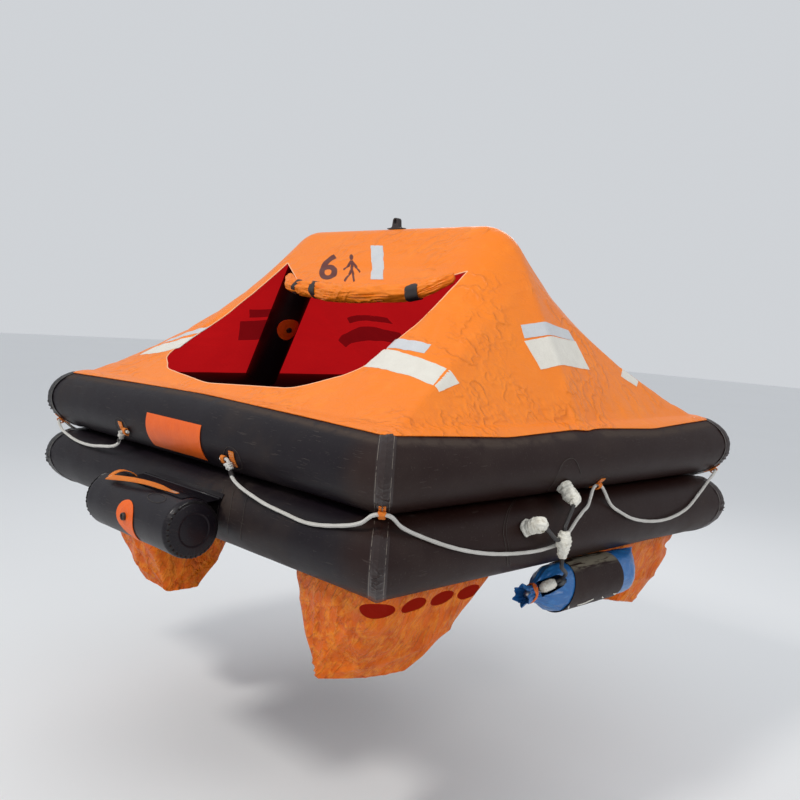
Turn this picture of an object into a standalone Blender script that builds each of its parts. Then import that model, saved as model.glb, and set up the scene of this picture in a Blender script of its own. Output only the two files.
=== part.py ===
"""Inflatable life raft for six people: two stacked buoyancy tubes round a floor, under a canopy on an arch.

Metres, +Z up. The origin is in the hoist eye on the crown of the canopy. The boarding side faces -Y, the
gas bottle hangs under the +X side, and the crown of the arch runs along X. Inside this file most heights are
measured from the mid plane, where the two tubes touch, and one empty carries everything down from the eye.
"""

import math

import bmesh
import bpy
from mathutils import Matrix, Vector

# Driving sizes
TUBE_DIAMETER = 0.24
SPAN_X = 1.85
SPAN_Y = 1.69
CANOPY_HEIGHT = 0.909
ARCH_DIAMETER = 0.15
CROWN_HALF = 0.545
EYE_RISE = 0.031
EYE_FOOT = 0.045
EYE_HOLE = (0.008, 0.010)
EYE_WIDTH = 0.022

# Thin materials and clearances. FACET is how far a faceted round may stand in from its true surface
SEAT = 0.0004
FACET = 0.0004
SHEET = 0.004
WEBBING = 0.0025
ROPE_DIAMETER = 0.011

# Sizes that follow
TUBE_R = TUBE_DIAMETER / 2
ARCH_R = ARCH_DIAMETER / 2
HALF_X = SPAN_X / 2
HALF_Y = SPAN_Y / 2
UPPER_Z = TUBE_R + SEAT
LOWER_Z = -UPPER_Z
TUBE_BOTTOM = LOWER_Z - TUBE_R
SHEET_R = ARCH_R + SHEET / 2 + 0.0011
CROWN_Z = CANOPY_HEIGHT - SHEET_R - SHEET / 2
EYE_HEIGHT = CANOPY_HEIGHT + EYE_RISE
ROPE_R = ROPE_DIAMETER / 2

# Floor, flush with the underside of the lower tube
FLOOR_THICKNESS = 0.012
FLOOR_TOP = TUBE_BOTTOM + FLOOR_THICKNESS

# Arch legs, given by the foot of their centreline inside the upper tube
ARCH_FOOT = (0.941, 0.132)
ARCH_BEND = 0.13

# Where the canopy's ridge starts on a leg, level with its rim
CANOPY_FOOT = (0.923, 0.164)

# Canopy: where its rim meets the upper tube, as angles from the tube's top, and how hollow its panels hang
RIM_ANGLE_LEG = math.radians(36)
RIM_ANGLE_SIDE = math.radians(43)
RIM_ANGLE_CORNER = math.radians(28)
RIM_ANGLE_FRONT = math.radians(11)
RIM_LEG_Y = 0.0975
RIM_SIDE_Y = -0.42
RIM_DEPTH = 0.018
RIM_CORNER_R = 0.012
PANEL_SAG = 0.040
RIB_SPACING = 0.08
ARC_ROWS = 3
PANEL_ROWS = 8

# Doorway, as seen from the boarding side: (x, height, corner radius) along its hem, then along its sill
DOOR_HEM = (
    (-0.487, 0.756, 0.0),
    (-0.30, 0.675, 0.12),
    (0.05, 0.653, 0.8),
    (0.42, 0.662, 0.12),
    (0.580, 0.726, 0.0),
)
DOOR_SILL = (
    (0.562, 0.37, 0.09),
    (0.36, 0.292, 0.3),
    (-0.10, 0.266, 0.6),
    (-0.45, 0.29, 0.3),
    (-0.59, 0.34, 0.05),
)
DOOR_REACH = (-1.3, -0.10)

# Rolled door flap and the straps that hold it up
FLAP_R = 0.033
FLAP_TAPER = 0.45
FLAP_SPAN = (0.12, 0.96)
FLAP_POINTS = 15
FLAP_EASE = 0.0018
TIE_PLACES = (("door_tie_left", 2), ("door_tie_middle", 4), ("door_tie_right", 12))
TIE_HALF_WIDTH = 0.014
TIE_EASE = 0.0008

# Relief valve on the arch's -X leg
ARCH_VALVE_SHARE = 0.528
ARCH_VALVE_FACE = (0.853, -0.195, -0.484)

# Round patches under the valves
PATCH_R = 0.055
PATCH_THICKNESS = 0.0015
VALVE_R = 0.013
VALVE_RISE = 0.012

# Boarding step: an inflated bolster that hangs on a web from the lower tube
STEP_LEFT = -0.24
STEP_RIGHT = 0.335
STEP_R = 0.095
STEP_Y = -1.075
STEP_Z = -0.149
STEP_EDGE_R = 0.035
STEP_BULGE = 0.014
STEP_HINGE_ANGLE = math.radians(66)
STEP_HINGE_PROUD = 0.0085
STRIP_SPREAD = math.radians(9)
WEB_LEFT = -0.20
WEB_RIGHT = 0.29
WEB_WRAP = math.radians(54)
STEP_VALVE_X = 0.065
HANDLE_X = (-0.15, 0.21)
HANDLE_TAB = 0.03
HANDLE_BEND = 0.05
HANDLE_RISE = 0.022
HANDLE_ANGLE = math.radians(27)
HANDLE_WIDTH = 0.025

# Boarding sign plate on the upper tube
SIGN_LEFT = -0.18
SIGN_RIGHT = 0.14
SIGN_ANGLES = (math.radians(75), math.radians(137))
SIGN_THICKNESS = 0.0015

# Lifeline loops: angle from the tube's top and place along each side
LOOP_ANGLE_DOOR = math.radians(117)
LOOP_ANGLE = math.radians(140)
LOOP_1_X = -0.36
LOOP_2_X = 0.30
LOOP_SIDE_Y = 0.08
LOOP_BACK_X = 0.33
LOOP_WIDTH = 0.025
LOOP_SLOT = (0.0064, 0.024)
LOOP_TAB = math.radians(14)
LOOP_RIM = 0.0015

# Lifeline: how it hangs between two loops, as (share of the span, height), and its knotted ends
LOOP_RUN = 0.02
END_RUN = (0.034, -0.052)
KNOT_R = 0.013
KNOT_HALF = 0.013
WHIPPING_R = 0.0085
WHIPPING_HALF = 0.009
KNOT_PLACE = 0.020
WHIPPING_PLACE = 0.044
ROPE_EASE = 0.0056
HANG_FRONT_RIGHT = ((0.22, -0.034), (0.41, -0.049), (0.60, -0.054), (0.78, -0.038), (0.92, -0.012))
HANG_BY_BOTTLE = (
    (0.05, -0.015),
    (0.12, -0.047),
    (0.236, -0.088),
    (0.376, -0.121),
    (0.534, -0.141),
    (0.672, -0.145),
    (0.76, -0.131),
    (0.86, -0.069),
    (0.905, -0.051),
    (0.95, -0.037),
)
HANG_SIDE = (
    (0.05, -0.047),
    (0.11, -0.077),
    (0.18, -0.100),
    (0.34, -0.124),
    (0.50, -0.127),
    (0.66, -0.103),
    (0.82, -0.055),
    (0.95, -0.010),
)
HANG_SHORT = (
    (0.08, 0.0),
    (0.22, -0.030),
    (0.38, -0.046),
    (0.5, -0.05),
    (0.62, -0.046),
    (0.78, -0.030),
    (0.92, 0.0),
)
HANG_FRONT_LEFT = ((0.06, -0.008), (0.18, -0.024), (0.33, -0.035), (0.52, -0.036), (0.70, -0.026))

# Gas bottle in its pouch, under the +X side of the lower tube
BOTTLE_X = HALF_X + 0.05
BOTTLE_R = 0.0745
POUCH_R = 0.080
POUCH_SKIN = 0.003
SLEEVE_R = 0.0835
POUCH_NECK_RADII = (0.034, 0.029, 0.024)
POUCH_DOME = 0.035
POUCH_NECK_Y = -0.25
POUCH_FRONT_Y = -0.125
POUCH_BACK_Y = 0.40
POUCH_OPENING_R = 0.027
SLEEVE_Y = (-0.09, 0.225)
VALVE_STEM_R = 0.0115
VALVE_STEM_IN = 0.022

# Inflation fittings on the +X side, bound with tape, and the hoses between them
FITTING_A_Y = -0.135
FITTING_A_ANGLE = math.radians(130)
FITTING_B_Y = -0.34
FITTING_B_ANGLE = math.radians(67)
FITTING_LENGTH = 0.052
FITTING_EASE = 0.0006
JUNCTION = (HALF_X + TUBE_R + 0.045, -0.21, -0.130)
JUNCTION_HALF = 0.045
JUNCTION_R = 0.026
COUPLING_LENGTH = 0.058
COUPLING_R = 0.019
COUPLING_TIP_R = 0.012
COUPLING_Y = -0.19
COUPLING_TURN = (0.61, 0.61, 0.51)
HOSE_R = 0.007
HOSE_LEAD = 0.01
HOSE_BIGHT = (1.077, -0.165, -0.232)

# Ballast pockets: the signs of the corner, the wall with the drain holes (0 faces X, 1 faces Y), the edges of
# the top as (inner, outer) x and y, and the corners of the foot, from inner to outer
POCKET_SKIN = 0.003
POCKET_EDGE_R = 0.04
POCKET_CORNER_R = 0.07
POCKET_LEVELS = ((0.0, 0.0), (0.05, 0.0), (0.3, 0.22), (0.6, 0.52), (0.85, 0.82), (1.0, 1.0))
POCKET_HOLE_HALF = 0.052
POCKET_HOLE_RISE = 0.025
POCKET_HOLE_DROP = 0.052
POCKET_HOLE_DEPTH = 0.09
POCKET_HOLES = (0.16, 0.285, 0.405)
POCKET_HOLE_MARGIN = 0.07
POCKET_WALL_LEAN = 0.01
POCKET_CORNER_HOLE = 0.03
POCKETS = (
    (
        "pocket_front_right",
        (1, -1),
        0,
        ((0.53, HALF_X), (0.34, HALF_Y)),
        ((0.68, 0.62, -0.575), (0.81, 0.555, -0.548), (0.745, 0.715, -0.565), (0.585, 0.80, -0.60)),
    ),
    (
        "pocket_back_right",
        (1, 1),
        1,
        ((0.53, HALF_X), (0.43, HALF_Y)),
        ((0.70, 0.58, -0.54), (0.81, 0.59, -0.525), (0.82, 0.73, -0.555), (0.71, 0.72, -0.56)),
    ),
    (
        "pocket_back_left",
        (-1, 1),
        1,
        ((0.53, HALF_X), (0.43, HALF_Y)),
        ((0.68, 0.60, -0.57), (0.80, 0.58, -0.55), (0.78, 0.74, -0.57), (0.65, 0.76, -0.585)),
    ),
    (
        "pocket_front_left",
        (-1, -1),
        0,
        ((0.41, 0.79), (0.34, HALF_Y)),
        ((0.42, 0.58, -0.60), (0.56, 0.58, -0.60), (0.63, 0.73, -0.585), (0.46, 0.70, -0.615)),
    ),
)


def clear_scene():
    for obj in list(bpy.data.objects):
        bpy.data.objects.remove(obj, do_unlink=True)


def collection(name, helper=False):
    made = bpy.data.collections.new(name)
    bpy.context.scene.collection.children.link(made)
    made.hide_render = helper
    return made


def material(name, colour, roughness, metallic=0.0):
    made = bpy.data.materials.new(name)
    made.use_nodes = True
    shader = made.node_tree.nodes["Principled BSDF"]
    shader.inputs["Base Color"].default_value = (*colour, 1.0)
    shader.inputs["Roughness"].default_value = roughness
    shader.inputs["Metallic"].default_value = metallic
    made.diffuse_color = (*colour, 1.0)
    return made


clear_scene()
RAFT = collection("Life raft")
CUTTERS = collection("Cutters", helper=True)

BLACK = material("black tube fabric", (0.016, 0.013, 0.017), 0.42)
ORANGE = material("orange canopy fabric", (0.88, 0.21, 0.025), 0.38)
LINING = material("orange lined fabric", (0.80, 0.17, 0.02), 0.45)
WEB = material("orange webbing", (0.85, 0.22, 0.03), 0.7)
ROPE = material("white rope", (0.80, 0.79, 0.76), 0.75)
BLUE = material("blue pouch fabric", (0.03, 0.20, 0.45), 0.4)
TAPE = material("white tape", (0.78, 0.78, 0.74), 0.55)
STEEL = material("bottle steel", (0.45, 0.46, 0.47), 0.35, 1.0)
HOSE = material("black hose", (0.02, 0.02, 0.02), 0.5)

DATUM = bpy.data.objects.new("raft_datum", None)
DATUM.location = (0, 0, -EYE_HEIGHT)
RAFT.objects.link(DATUM)


def add(name, data, finish, parent=None, group=None):
    """Puts mesh or curve data into the scene as a named sub-part."""
    obj = bpy.data.objects.new(name, data)
    (group or RAFT).objects.link(obj)
    obj.parent = parent or DATUM
    if finish:
        data.materials.append(finish)
    if group is CUTTERS:
        obj.hide_render = True
        obj.display_type = "WIRE"
    return obj


def mesh_from(name, build):
    """A mesh made by a function that fills a bmesh, with its faces turned outwards."""
    bm = bmesh.new()
    build(bm)
    bmesh.ops.recalc_face_normals(bm, faces=bm.faces)
    data = bpy.data.meshes.new(name)
    bm.to_mesh(data)
    bm.free()
    return data


def smooth(obj, angle=40):
    obj.data.shade_smooth()
    obj.data.set_sharp_from_angle(angle=math.radians(angle))


def solidify(obj, thickness, offset=0.0):
    modifier = obj.modifiers.new("Thickness", "SOLIDIFY")
    modifier.thickness = thickness
    modifier.offset = offset
    modifier.use_even_offset = True
    return modifier


def boolean(obj, cutter, operation="DIFFERENCE"):
    modifier = obj.modifiers.new(f"{operation.title()} {cutter.name}", "BOOLEAN")
    modifier.operation = operation
    modifier.solver = "EXACT"
    modifier.object = cutter
    return modifier


def as_mesh(obj):
    """Replaces a curve object by its mesh, with the loose caps welded on."""
    bpy.context.view_layer.update()
    graph = bpy.context.evaluated_depsgraph_get()
    data = bpy.data.meshes.new_from_object(obj.evaluated_get(graph))
    bm = bmesh.new()
    bm.from_mesh(data)
    bmesh.ops.remove_doubles(bm, verts=bm.verts, dist=1e-6)
    bm.to_mesh(data)
    bm.free()
    name = obj.name
    parent = obj.parent
    local = obj.matrix_local.copy()
    groups = list(obj.users_collection)
    bpy.data.objects.remove(obj, do_unlink=True)
    made = bpy.data.objects.new(name, data)
    for group in groups:
        group.objects.link(made)
    made.parent = parent
    made.matrix_local = local
    return made


def rounded_path(corners, steps=6):
    """Points along (point, radius) corners, with each inner corner turned through an arc of its radius."""
    points = [Vector(corners[0][0])]
    for before, here, after in zip(corners, corners[1:], corners[2:]):
        points += corner_arc(Vector(before[0]), Vector(here[0]), Vector(after[0]), here[1], steps)
    points.append(Vector(corners[-1][0]))
    return points


def corner_arc(before, corner, after, radius, steps):
    if radius <= 0:
        return [corner]
    into = (corner - before).normalized()
    out = (after - corner).normalized()
    turn = into.angle(out)
    reach = radius * math.tan(turn / 2)
    start = corner - into * reach
    inward = (out - into * into.dot(out)).normalized()
    centre = start + inward * radius
    arc = []
    for step in range(steps + 1):
        angle = turn * step / steps
        arc.append(centre + (-inward * math.cos(angle) + into * math.sin(angle)) * radius)
    return arc


def rounded_loop(corners, steps=6):
    """The same for a closed outline."""
    points = []
    count = len(corners)
    for index, (point, radius) in enumerate(corners):
        before = Vector(corners[index - 1][0])
        after = Vector(corners[(index + 1) % count][0])
        points += corner_arc(before, Vector(point), after, radius, steps)
    return points


def pipe(name, points, radius, finish, parent=None, resolution=2, radii=None, caps=True):
    """A round tube along points."""
    data = bpy.data.curves.new(name, "CURVE")
    data.dimensions = "3D"
    data.bevel_depth = radius
    data.bevel_resolution = resolution
    data.use_fill_caps = caps
    spline = data.splines.new("POLY")
    spline.points.add(len(points) - 1)
    for index, point in enumerate(points):
        spline.points[index].co = (*point, 1.0)
        if radii:
            spline.points[index].radius = radii[index]
    return add(name, data, finish, parent)


def plate(name, outlines, thickness, frame, finish, parent=None, group=None):
    """A flat outline, with any holes, as thick as given, laid in the plane of a matrix."""
    data = bpy.data.curves.new(name, "CURVE")
    data.dimensions = "2D"
    data.fill_mode = "BOTH"
    data.extrude = thickness / 2
    for outline in outlines:
        spline = data.splines.new("POLY")
        spline.points.add(len(outline) - 1)
        spline.use_cyclic_u = True
        for index, point in enumerate(outline):
            spline.points[index].co = (point[0], point[1], 0.0, 1.0)
    obj = add(name, data, finish, parent, group)
    obj.matrix_local = frame
    return obj


def strip_outline(path, thickness):
    """Closed outline of a band of this thickness whose inner side follows a 2D path."""
    points = [Vector(point[:2]) for point in path]
    outer = []
    for index, point in enumerate(points):
        before = points[max(index - 1, 0)]
        after = points[min(index + 1, len(points) - 1)]
        along = (after - before).normalized()
        outer.append(point + Vector((along.y, -along.x)) * thickness)
    return points + outer[::-1]


def turned(name, profile, finish, location, direction, parent=None, steps=32, group=None):
    """A profile of (radius, distance along the axis) turned about the axis through location."""
    curve = bpy.data.meshes.new(name)
    bm = bmesh.new()
    closed = profile[0] == profile[-1]
    verts = [bm.verts.new((radius, 0.0, along)) for radius, along in profile[: -1 if closed else None]]
    for first, second in zip(verts, verts[1:]):
        bm.edges.new((first, second))
    if closed:
        bm.edges.new((verts[-1], verts[0]))
    bm.to_mesh(curve)
    bm.free()
    obj = add(name, curve, finish, parent, group)
    turn = Vector((0, 0, 1)).rotation_difference(Vector(direction))
    obj.matrix_local = Matrix.Translation(location) @ turn.to_matrix().to_4x4()
    screw = obj.modifiers.new("Turn", "SCREW")
    screw.axis = "Z"
    screw.steps = steps
    screw.render_steps = steps
    screw.use_merge_vertices = True
    screw.merge_threshold = 0.0001
    return obj


def in_section(origin, across, up=(0, 0, 1)):
    """A matrix whose local X is the direction across, local Y is up and local Z is along the tube."""
    x = Vector(across).normalized()
    y = Vector(up)
    z = x.cross(y)
    frame = Matrix((x, y, z)).transposed().to_4x4()
    frame.translation = origin
    return frame


def build_tube(name, height, radius=TUBE_R, group=None, finish=BLACK):
    """A buoyancy tube: a four-cornered ring of round section, mitred at its corners."""

    def build(bm):
        rings = []
        for sign_x, sign_y in ((1, -1), (1, 1), (-1, 1), (-1, -1)):
            ring = bmesh.ops.create_circle(bm, segments=48, radius=radius)["verts"]
            for vert in ring:
                out, up = vert.co.x, vert.co.y
                vert.co = (sign_x * (HALF_X + out), sign_y * (HALF_Y + out), height + up)
            rings.append([edge for edge in bm.edges if edge.verts[0] in ring and edge.verts[1] in ring])
        for index, edges in enumerate(rings):
            bmesh.ops.bridge_loops(bm, edges=edges + rings[(index + 1) % 4])

    obj = add(name, mesh_from(name, build), finish, group=group)
    smooth(obj, 60)
    return obj


def build_tubes():
    build_tube("upper_tube", UPPER_Z)
    build_tube("lower_tube", LOWER_Z)


def build_floor(lower_clearance):
    """One plain sheet, let in between the sides of the lower tube and flush with its underside."""

    def build(bm):
        bmesh.ops.create_cube(bm, size=1.0)
        bmesh.ops.scale(bm, vec=(SPAN_X, SPAN_Y, FLOOR_THICKNESS), verts=bm.verts)
        bmesh.ops.translate(bm, vec=(0, 0, FLOOR_TOP - FLOOR_THICKNESS / 2), verts=bm.verts)

    floor = add("floor", mesh_from("floor", build), BLACK)
    boolean(floor, lower_clearance)


def arch_path(foot=ARCH_FOOT, steps=8):
    """Centreline of the arch from its -X foot over the crown to its +X foot."""
    foot_x, foot_z = foot
    corners = (
        ((-foot_x, 0, foot_z), 0),
        ((-CROWN_HALF, 0, CROWN_Z), ARCH_BEND),
        ((CROWN_HALF, 0, CROWN_Z), ARCH_BEND),
        ((foot_x, 0, foot_z), 0),
    )
    return rounded_path(corners, steps)


def build_arch(upper_clearance):
    """The inflated arch that carries the canopy, its feet scribed to the upper tube."""
    arch = as_mesh(pipe("arch_tube", arch_path(), ARCH_R, BLACK, resolution=10))
    boolean(arch, upper_clearance)
    smooth(arch, 50)


def divided(points, longest):
    """The same polyline with its long stretches divided evenly."""
    made = []
    for first, second in zip(points, points[1:]):
        count = max(1, math.ceil((second - first).length / longest))
        made += [first.lerp(second, step / count) for step in range(count)]
    made.append(points[-1])
    return made


def shares_along(points):
    """How far along a polyline each of its points lies, from 0 to 1."""
    lengths = [0.0]
    for first, second in zip(points, points[1:]):
        lengths.append(lengths[-1] + (second - first).length)
    return [length / lengths[-1] for length in lengths]


def points_at(points, shares):
    """Points that lie at the given shares of a polyline's length."""
    marks = shares_along(points)
    made = []
    place = 0
    for share in shares:
        while place < len(points) - 2 and marks[place + 1] < share:
            place += 1
        step = (share - marks[place]) / (marks[place + 1] - marks[place])
        made.append(points[place].lerp(points[place + 1], step))
    return made


def canopy_rim():
    """Half of the canopy's rim, from the foot of the -X leg round the boarding side to the +X leg."""
    reach = TUBE_R - RIM_DEPTH

    def on_side(sign, angle, y):
        return (sign * (HALF_X + reach * math.sin(angle)), y, UPPER_Z + reach * math.cos(angle))

    front_y = -HALF_Y - reach * math.sin(RIM_ANGLE_FRONT)
    corner_y = -HALF_Y - reach * math.sin(RIM_ANGLE_CORNER)
    left = [
        (on_side(-1, RIM_ANGLE_LEG, -RIM_LEG_Y), 0),
        (on_side(-1, RIM_ANGLE_SIDE, RIM_SIDE_Y), 0.8),
        (on_side(-1, RIM_ANGLE_CORNER, corner_y), RIM_CORNER_R),
    ]
    middle = ((0, front_y, UPPER_Z + reach * math.cos(RIM_ANGLE_FRONT)), 1.5)
    right = [((-point[0], point[1], point[2]), radius) for point, radius in left[::-1]]
    return rounded_path([*left, middle, *right], 4)


def canopy_section(centre, along, rim):
    """Points of one rib of the canopy, from the ridge round the arch and down a hollow panel to the rim."""
    side = Vector((0, -1, 0))
    up = Vector((-along.z, 0, along.x)).normalized()
    to_rim = rim - centre
    angle = 0.6
    for _ in range(12):
        normal = up * math.cos(angle) + side * math.sin(angle)
        touch = centre + normal * SHEET_R
        aim = to_rim - normal * (4 * PANEL_SAG * (rim - touch).length)
        toward_up = aim.dot(up)
        toward_side = aim.dot(side)
        distance = math.hypot(toward_up, toward_side)
        angle = math.atan2(toward_side, toward_up) - math.acos(min(SHEET_R / distance, 1.0))
        angle = max(angle, 0.12)
    normal = up * math.cos(angle) + side * math.sin(angle)
    touch = centre + normal * SHEET_R
    pull = (touch + rim) / 2 - normal * (2 * PANEL_SAG * (rim - touch).length)
    rib = []
    for row in range(ARC_ROWS):
        turn = angle * row / ARC_ROWS
        rib.append(centre + (up * math.cos(turn) + side * math.sin(turn)) * SHEET_R)
    for row in range(PANEL_ROWS + 1):
        share = row / PANEL_ROWS
        rib.append(touch.lerp(pull, share).lerp(pull.lerp(rim, share), share))
    return rib


def canopy_ribs():
    """The ribs of the boarding side's half, from the -X leg to the +X leg."""
    ridge = divided(arch_path(CANOPY_FOOT), RIB_SPACING)
    rim = points_at(canopy_rim(), shares_along(ridge))
    ribs = []
    for index, centre in enumerate(ridge):
        before = ridge[max(index - 1, 0)]
        after = ridge[min(index + 1, len(ridge) - 1)]
        ribs.append(canopy_section(centre, (after - before).normalized(), rim[index]))
    return ribs


def build_canopy(ribs, upper_clearance):
    """One sheet from the boarding side over the arch to the back, with the doorway cut from its front."""

    def build(bm):
        for mirror in (1, -1):
            grid = []
            for rib in ribs:
                grid.append([bm.verts.new((point.x, mirror * point.y, point.z)) for point in rib])
            for first, second in zip(grid, grid[1:]):
                for row in range(len(first) - 1):
                    bm.faces.new((first[row], first[row + 1], second[row + 1], second[row]))
        bmesh.ops.remove_doubles(bm, verts=bm.verts, dist=1e-5)

    canopy = add("canopy", mesh_from("canopy", build), ORANGE)
    solidify(canopy, SHEET)
    boolean(canopy, upper_clearance)
    outline = rounded_loop([((x, z, 0), radius) for x, z, radius in DOOR_HEM + DOOR_SILL], 6)
    near, far = DOOR_REACH
    frame = Matrix.Translation((0, (near + far) / 2, 0)) @ Matrix.Rotation(math.radians(90), 4, "X")
    outlines = [[point[:2] for point in outline]]
    doorway = plate("doorway_cutter", outlines, far - near, frame, None, group=CUTTERS)
    boolean(canopy, as_mesh(doorway))
    smooth(canopy, 50)


def on_panel(ribs, x, height):
    """The point of the boarding side's panel at this x and height."""
    crossings = []
    for rib in ribs:
        for upper, lower in zip(rib, rib[1:]):
            if upper.z >= height > lower.z:
                crossings.append(upper.lerp(lower, (upper.z - height) / (upper.z - lower.z)))
                break
    for left, right in zip(crossings, crossings[1:]):
        if left.x <= x < right.x:
            return left.lerp(right, (x - left.x) / (right.x - left.x))
    return crossings[0] if x < crossings[0].x else crossings[-1]


def build_door_flap(ribs):
    """The door flap, rolled up and strapped under the hem of the doorway."""
    edge = rounded_path([((x, z), radius) for x, z, radius in DOOR_HEM])
    hem = divided([on_panel(ribs, point.x, point.y) for point in edge], FLAP_R / 2)
    first, last = FLAP_SPAN
    shares = [step / (FLAP_POINTS - 1) for step in range(FLAP_POINTS)]
    points = []
    radii = []
    edges = points_at(hem, [first + (last - first) * share for share in shares])
    for share, edge in zip(shares, edges):
        down = (on_panel(ribs, edge.x, edge.z - 2 * FLAP_R) - edge).normalized()
        radius = FLAP_R * (FLAP_TAPER + (1 - FLAP_TAPER) * math.sin(math.pi * share) ** 0.5)
        reach = radius + SHEET / 2 * abs(down.y / down.z) + TIE_EASE + WEBBING + FLAP_EASE
        centre = edge + down * reach
        for _ in range(8):
            centre += down * (reach - min((centre - point).length for point in hem))
        points.append(centre)
        radii.append(radius)
    pipe("door_flap", points, FLAP_R, ORANGE, resolution=6, radii=[radius / FLAP_R for radius in radii])
    for name, index in TIE_PLACES:
        build_tie(name, points, radii, index)


def build_tie(name, points, radii, index):
    """A black strap round the rolled flap, at one point of its run."""
    run = []
    sizes = []
    for neighbour in (index - 1, index, index + 1):
        span = (points[neighbour] - points[index]).length
        share = TIE_HALF_WIDTH / span if span else 0.0
        run.append(points[index].lerp(points[neighbour], share))
        sizes.append(radii[index] + (radii[neighbour] - radii[index]) * share + TIE_EASE + WEBBING / 2)
    strap = pipe(name, run, FLAP_R, HOSE, resolution=6, radii=[size / FLAP_R for size in sizes], caps=False)
    solidify(as_mesh(strap), WEBBING)


def tube_surface(angle, height, k=1.0, proud=0.0):
    """(outward, height) of a point on a tube's section, measured from the tube's centreline."""
    return Vector((k * (TUBE_R + proud) * math.sin(angle), height + (TUBE_R + proud) * math.cos(angle)))


def front_frame(x):
    """Section plane across the boarding side: local X points outwards from the tube's centreline."""
    return in_section((x, -HALF_Y, 0), (0, -1, 0))


def curved_band(name, left, right, angles, height, thickness, finish, steps=8):
    """A band that lies on a tube of the boarding side between two angles from the tube's top."""
    path = []
    for step in range(steps + 1):
        angle = angles[0] + (angles[1] - angles[0]) * step / steps
        path.append(tube_surface(angle, height, proud=SEAT + FACET))
    outline = strip_outline(path[::-1], thickness)
    return plate(name, [outline], right - left, front_frame((left + right) / 2), finish)


def build_sign():
    curved_band("boarding_sign", SIGN_LEFT, SIGN_RIGHT, SIGN_ANGLES, UPPER_Z, SIGN_THICKNESS, WEB)


def patched_valve(name, centre, along, face, radius, parent=None):
    """A valve on a round patch that follows a tube of this radius about the line along through centre."""
    out = Vector(face).normalized()
    axis = Vector(along).normalized()
    side = axis.cross(out)
    inner = radius + SEAT + FACET

    def build(bm):
        rings = []
        for ring in range(5):
            spread = PATCH_R * ring / 4
            verts = []
            for step in range(24 if ring else 1):
                turn = math.tau * step / 24
                across = spread * math.sin(turn) / inner
                lie = (out * math.cos(across) + side * math.sin(across)) * inner
                verts.append(bm.verts.new(lie + axis * spread * math.cos(turn)))
            rings.append(verts)
        for step in range(24):
            after = (step + 1) % 24
            bm.faces.new((rings[0][0], rings[1][step], rings[1][after]))
            for inside, outside in zip(rings[1:], rings[2:]):
                bm.faces.new((inside[step], outside[step], outside[after], inside[after]))
        bm.normal_update()
        if next(iter(bm.faces)).normal.dot(out) < 0:
            bmesh.ops.reverse_faces(bm, faces=bm.faces)

    patch = bpy.data.meshes.new(name)
    bm = bmesh.new()
    build(bm)
    bm.to_mesh(patch)
    bm.free()
    valve = add(name, patch, WEB, parent)
    valve.location = centre
    solidify(valve, PATCH_THICKNESS, 1.0)
    profile = [(0.0, VALVE_RISE), (0.010, VALVE_RISE), (VALVE_R, 0.009), (VALVE_R, 0.0005), (0.0, 0.0005)]
    body = turned(f"{name}_body", profile, None, Vector(centre) + out * inner, out, parent, 20, CUTTERS)
    boolean(valve, body, "UNION")
    return valve


def build_step():
    """The inflated boarding step, its web and its handle, hinged on the strip welded to the lower tube."""
    hinge = tube_surface(STEP_HINGE_ANGLE, LOWER_Z, proud=STEP_HINGE_PROUD)
    axis = Vector((0, -HALF_Y - hinge.x, hinge.y))
    pivot = bpy.data.objects.new("boarding_step_hinge", None)
    pivot.location = axis
    pivot.parent = DATUM
    RAFT.objects.link(pivot)
    angles = (STEP_HINGE_ANGLE - STRIP_SPREAD, STEP_HINGE_ANGLE + STRIP_SPREAD)
    curved_band("step_seam_strip", WEB_LEFT, WEB_RIGHT, angles, LOWER_Z, WEBBING, BLACK, 4)
    centre = Vector((0, STEP_Y, STEP_Z)) - axis
    half = (STEP_RIGHT - STEP_LEFT) / 2
    arc = []
    for step in range(5):
        angle = math.radians(22.5 * step)
        radius = STEP_R - STEP_EDGE_R + STEP_EDGE_R * math.sin(angle)
        arc.append((radius, half - STEP_BULGE - STEP_EDGE_R + STEP_EDGE_R * math.cos(angle)))
    other_end = [(radius, -along) for radius, along in arc[::-1]]
    profile = [(0.0, half), *arc, *other_end, (0.0, -half)]
    location = Vector(((STEP_LEFT + STEP_RIGHT) / 2, centre.y, centre.z))
    turned("boarding_step", profile, BLACK, location, (1, 0, 0), pivot)
    build_step_web(centre, pivot)
    build_step_handle(centre, pivot)
    patched_valve("step_valve", (STEP_VALVE_X, centre.y, centre.z), (1, 0, 0), (0, -1, 0), STEP_R, pivot)


def beaded_strip(path, thickness, bead):
    """Closed outline of a band about a 2D path that starts in the centre of a round bead."""
    points = [Vector(point[:2]) for point in path]
    left = []
    right = []
    for index, point in enumerate(points[1:], 1):
        after = points[min(index + 1, len(points) - 1)]
        along = (after - points[index - 1]).normalized()
        side = Vector((-along.y, along.x)) * thickness / 2
        left.append(point + side)
        right.append(point - side)
    heading = math.atan2(points[1].y, points[1].x)
    mouth = math.asin(thickness / 2 / bead)
    turns = 14
    round_end = []
    for step in range(turns + 1):
        angle = heading + mouth + (math.tau - 2 * mouth) * step / turns
        round_end.append(Vector((bead * math.cos(angle), bead * math.sin(angle))))
    return round_end + right + left[::-1]


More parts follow.
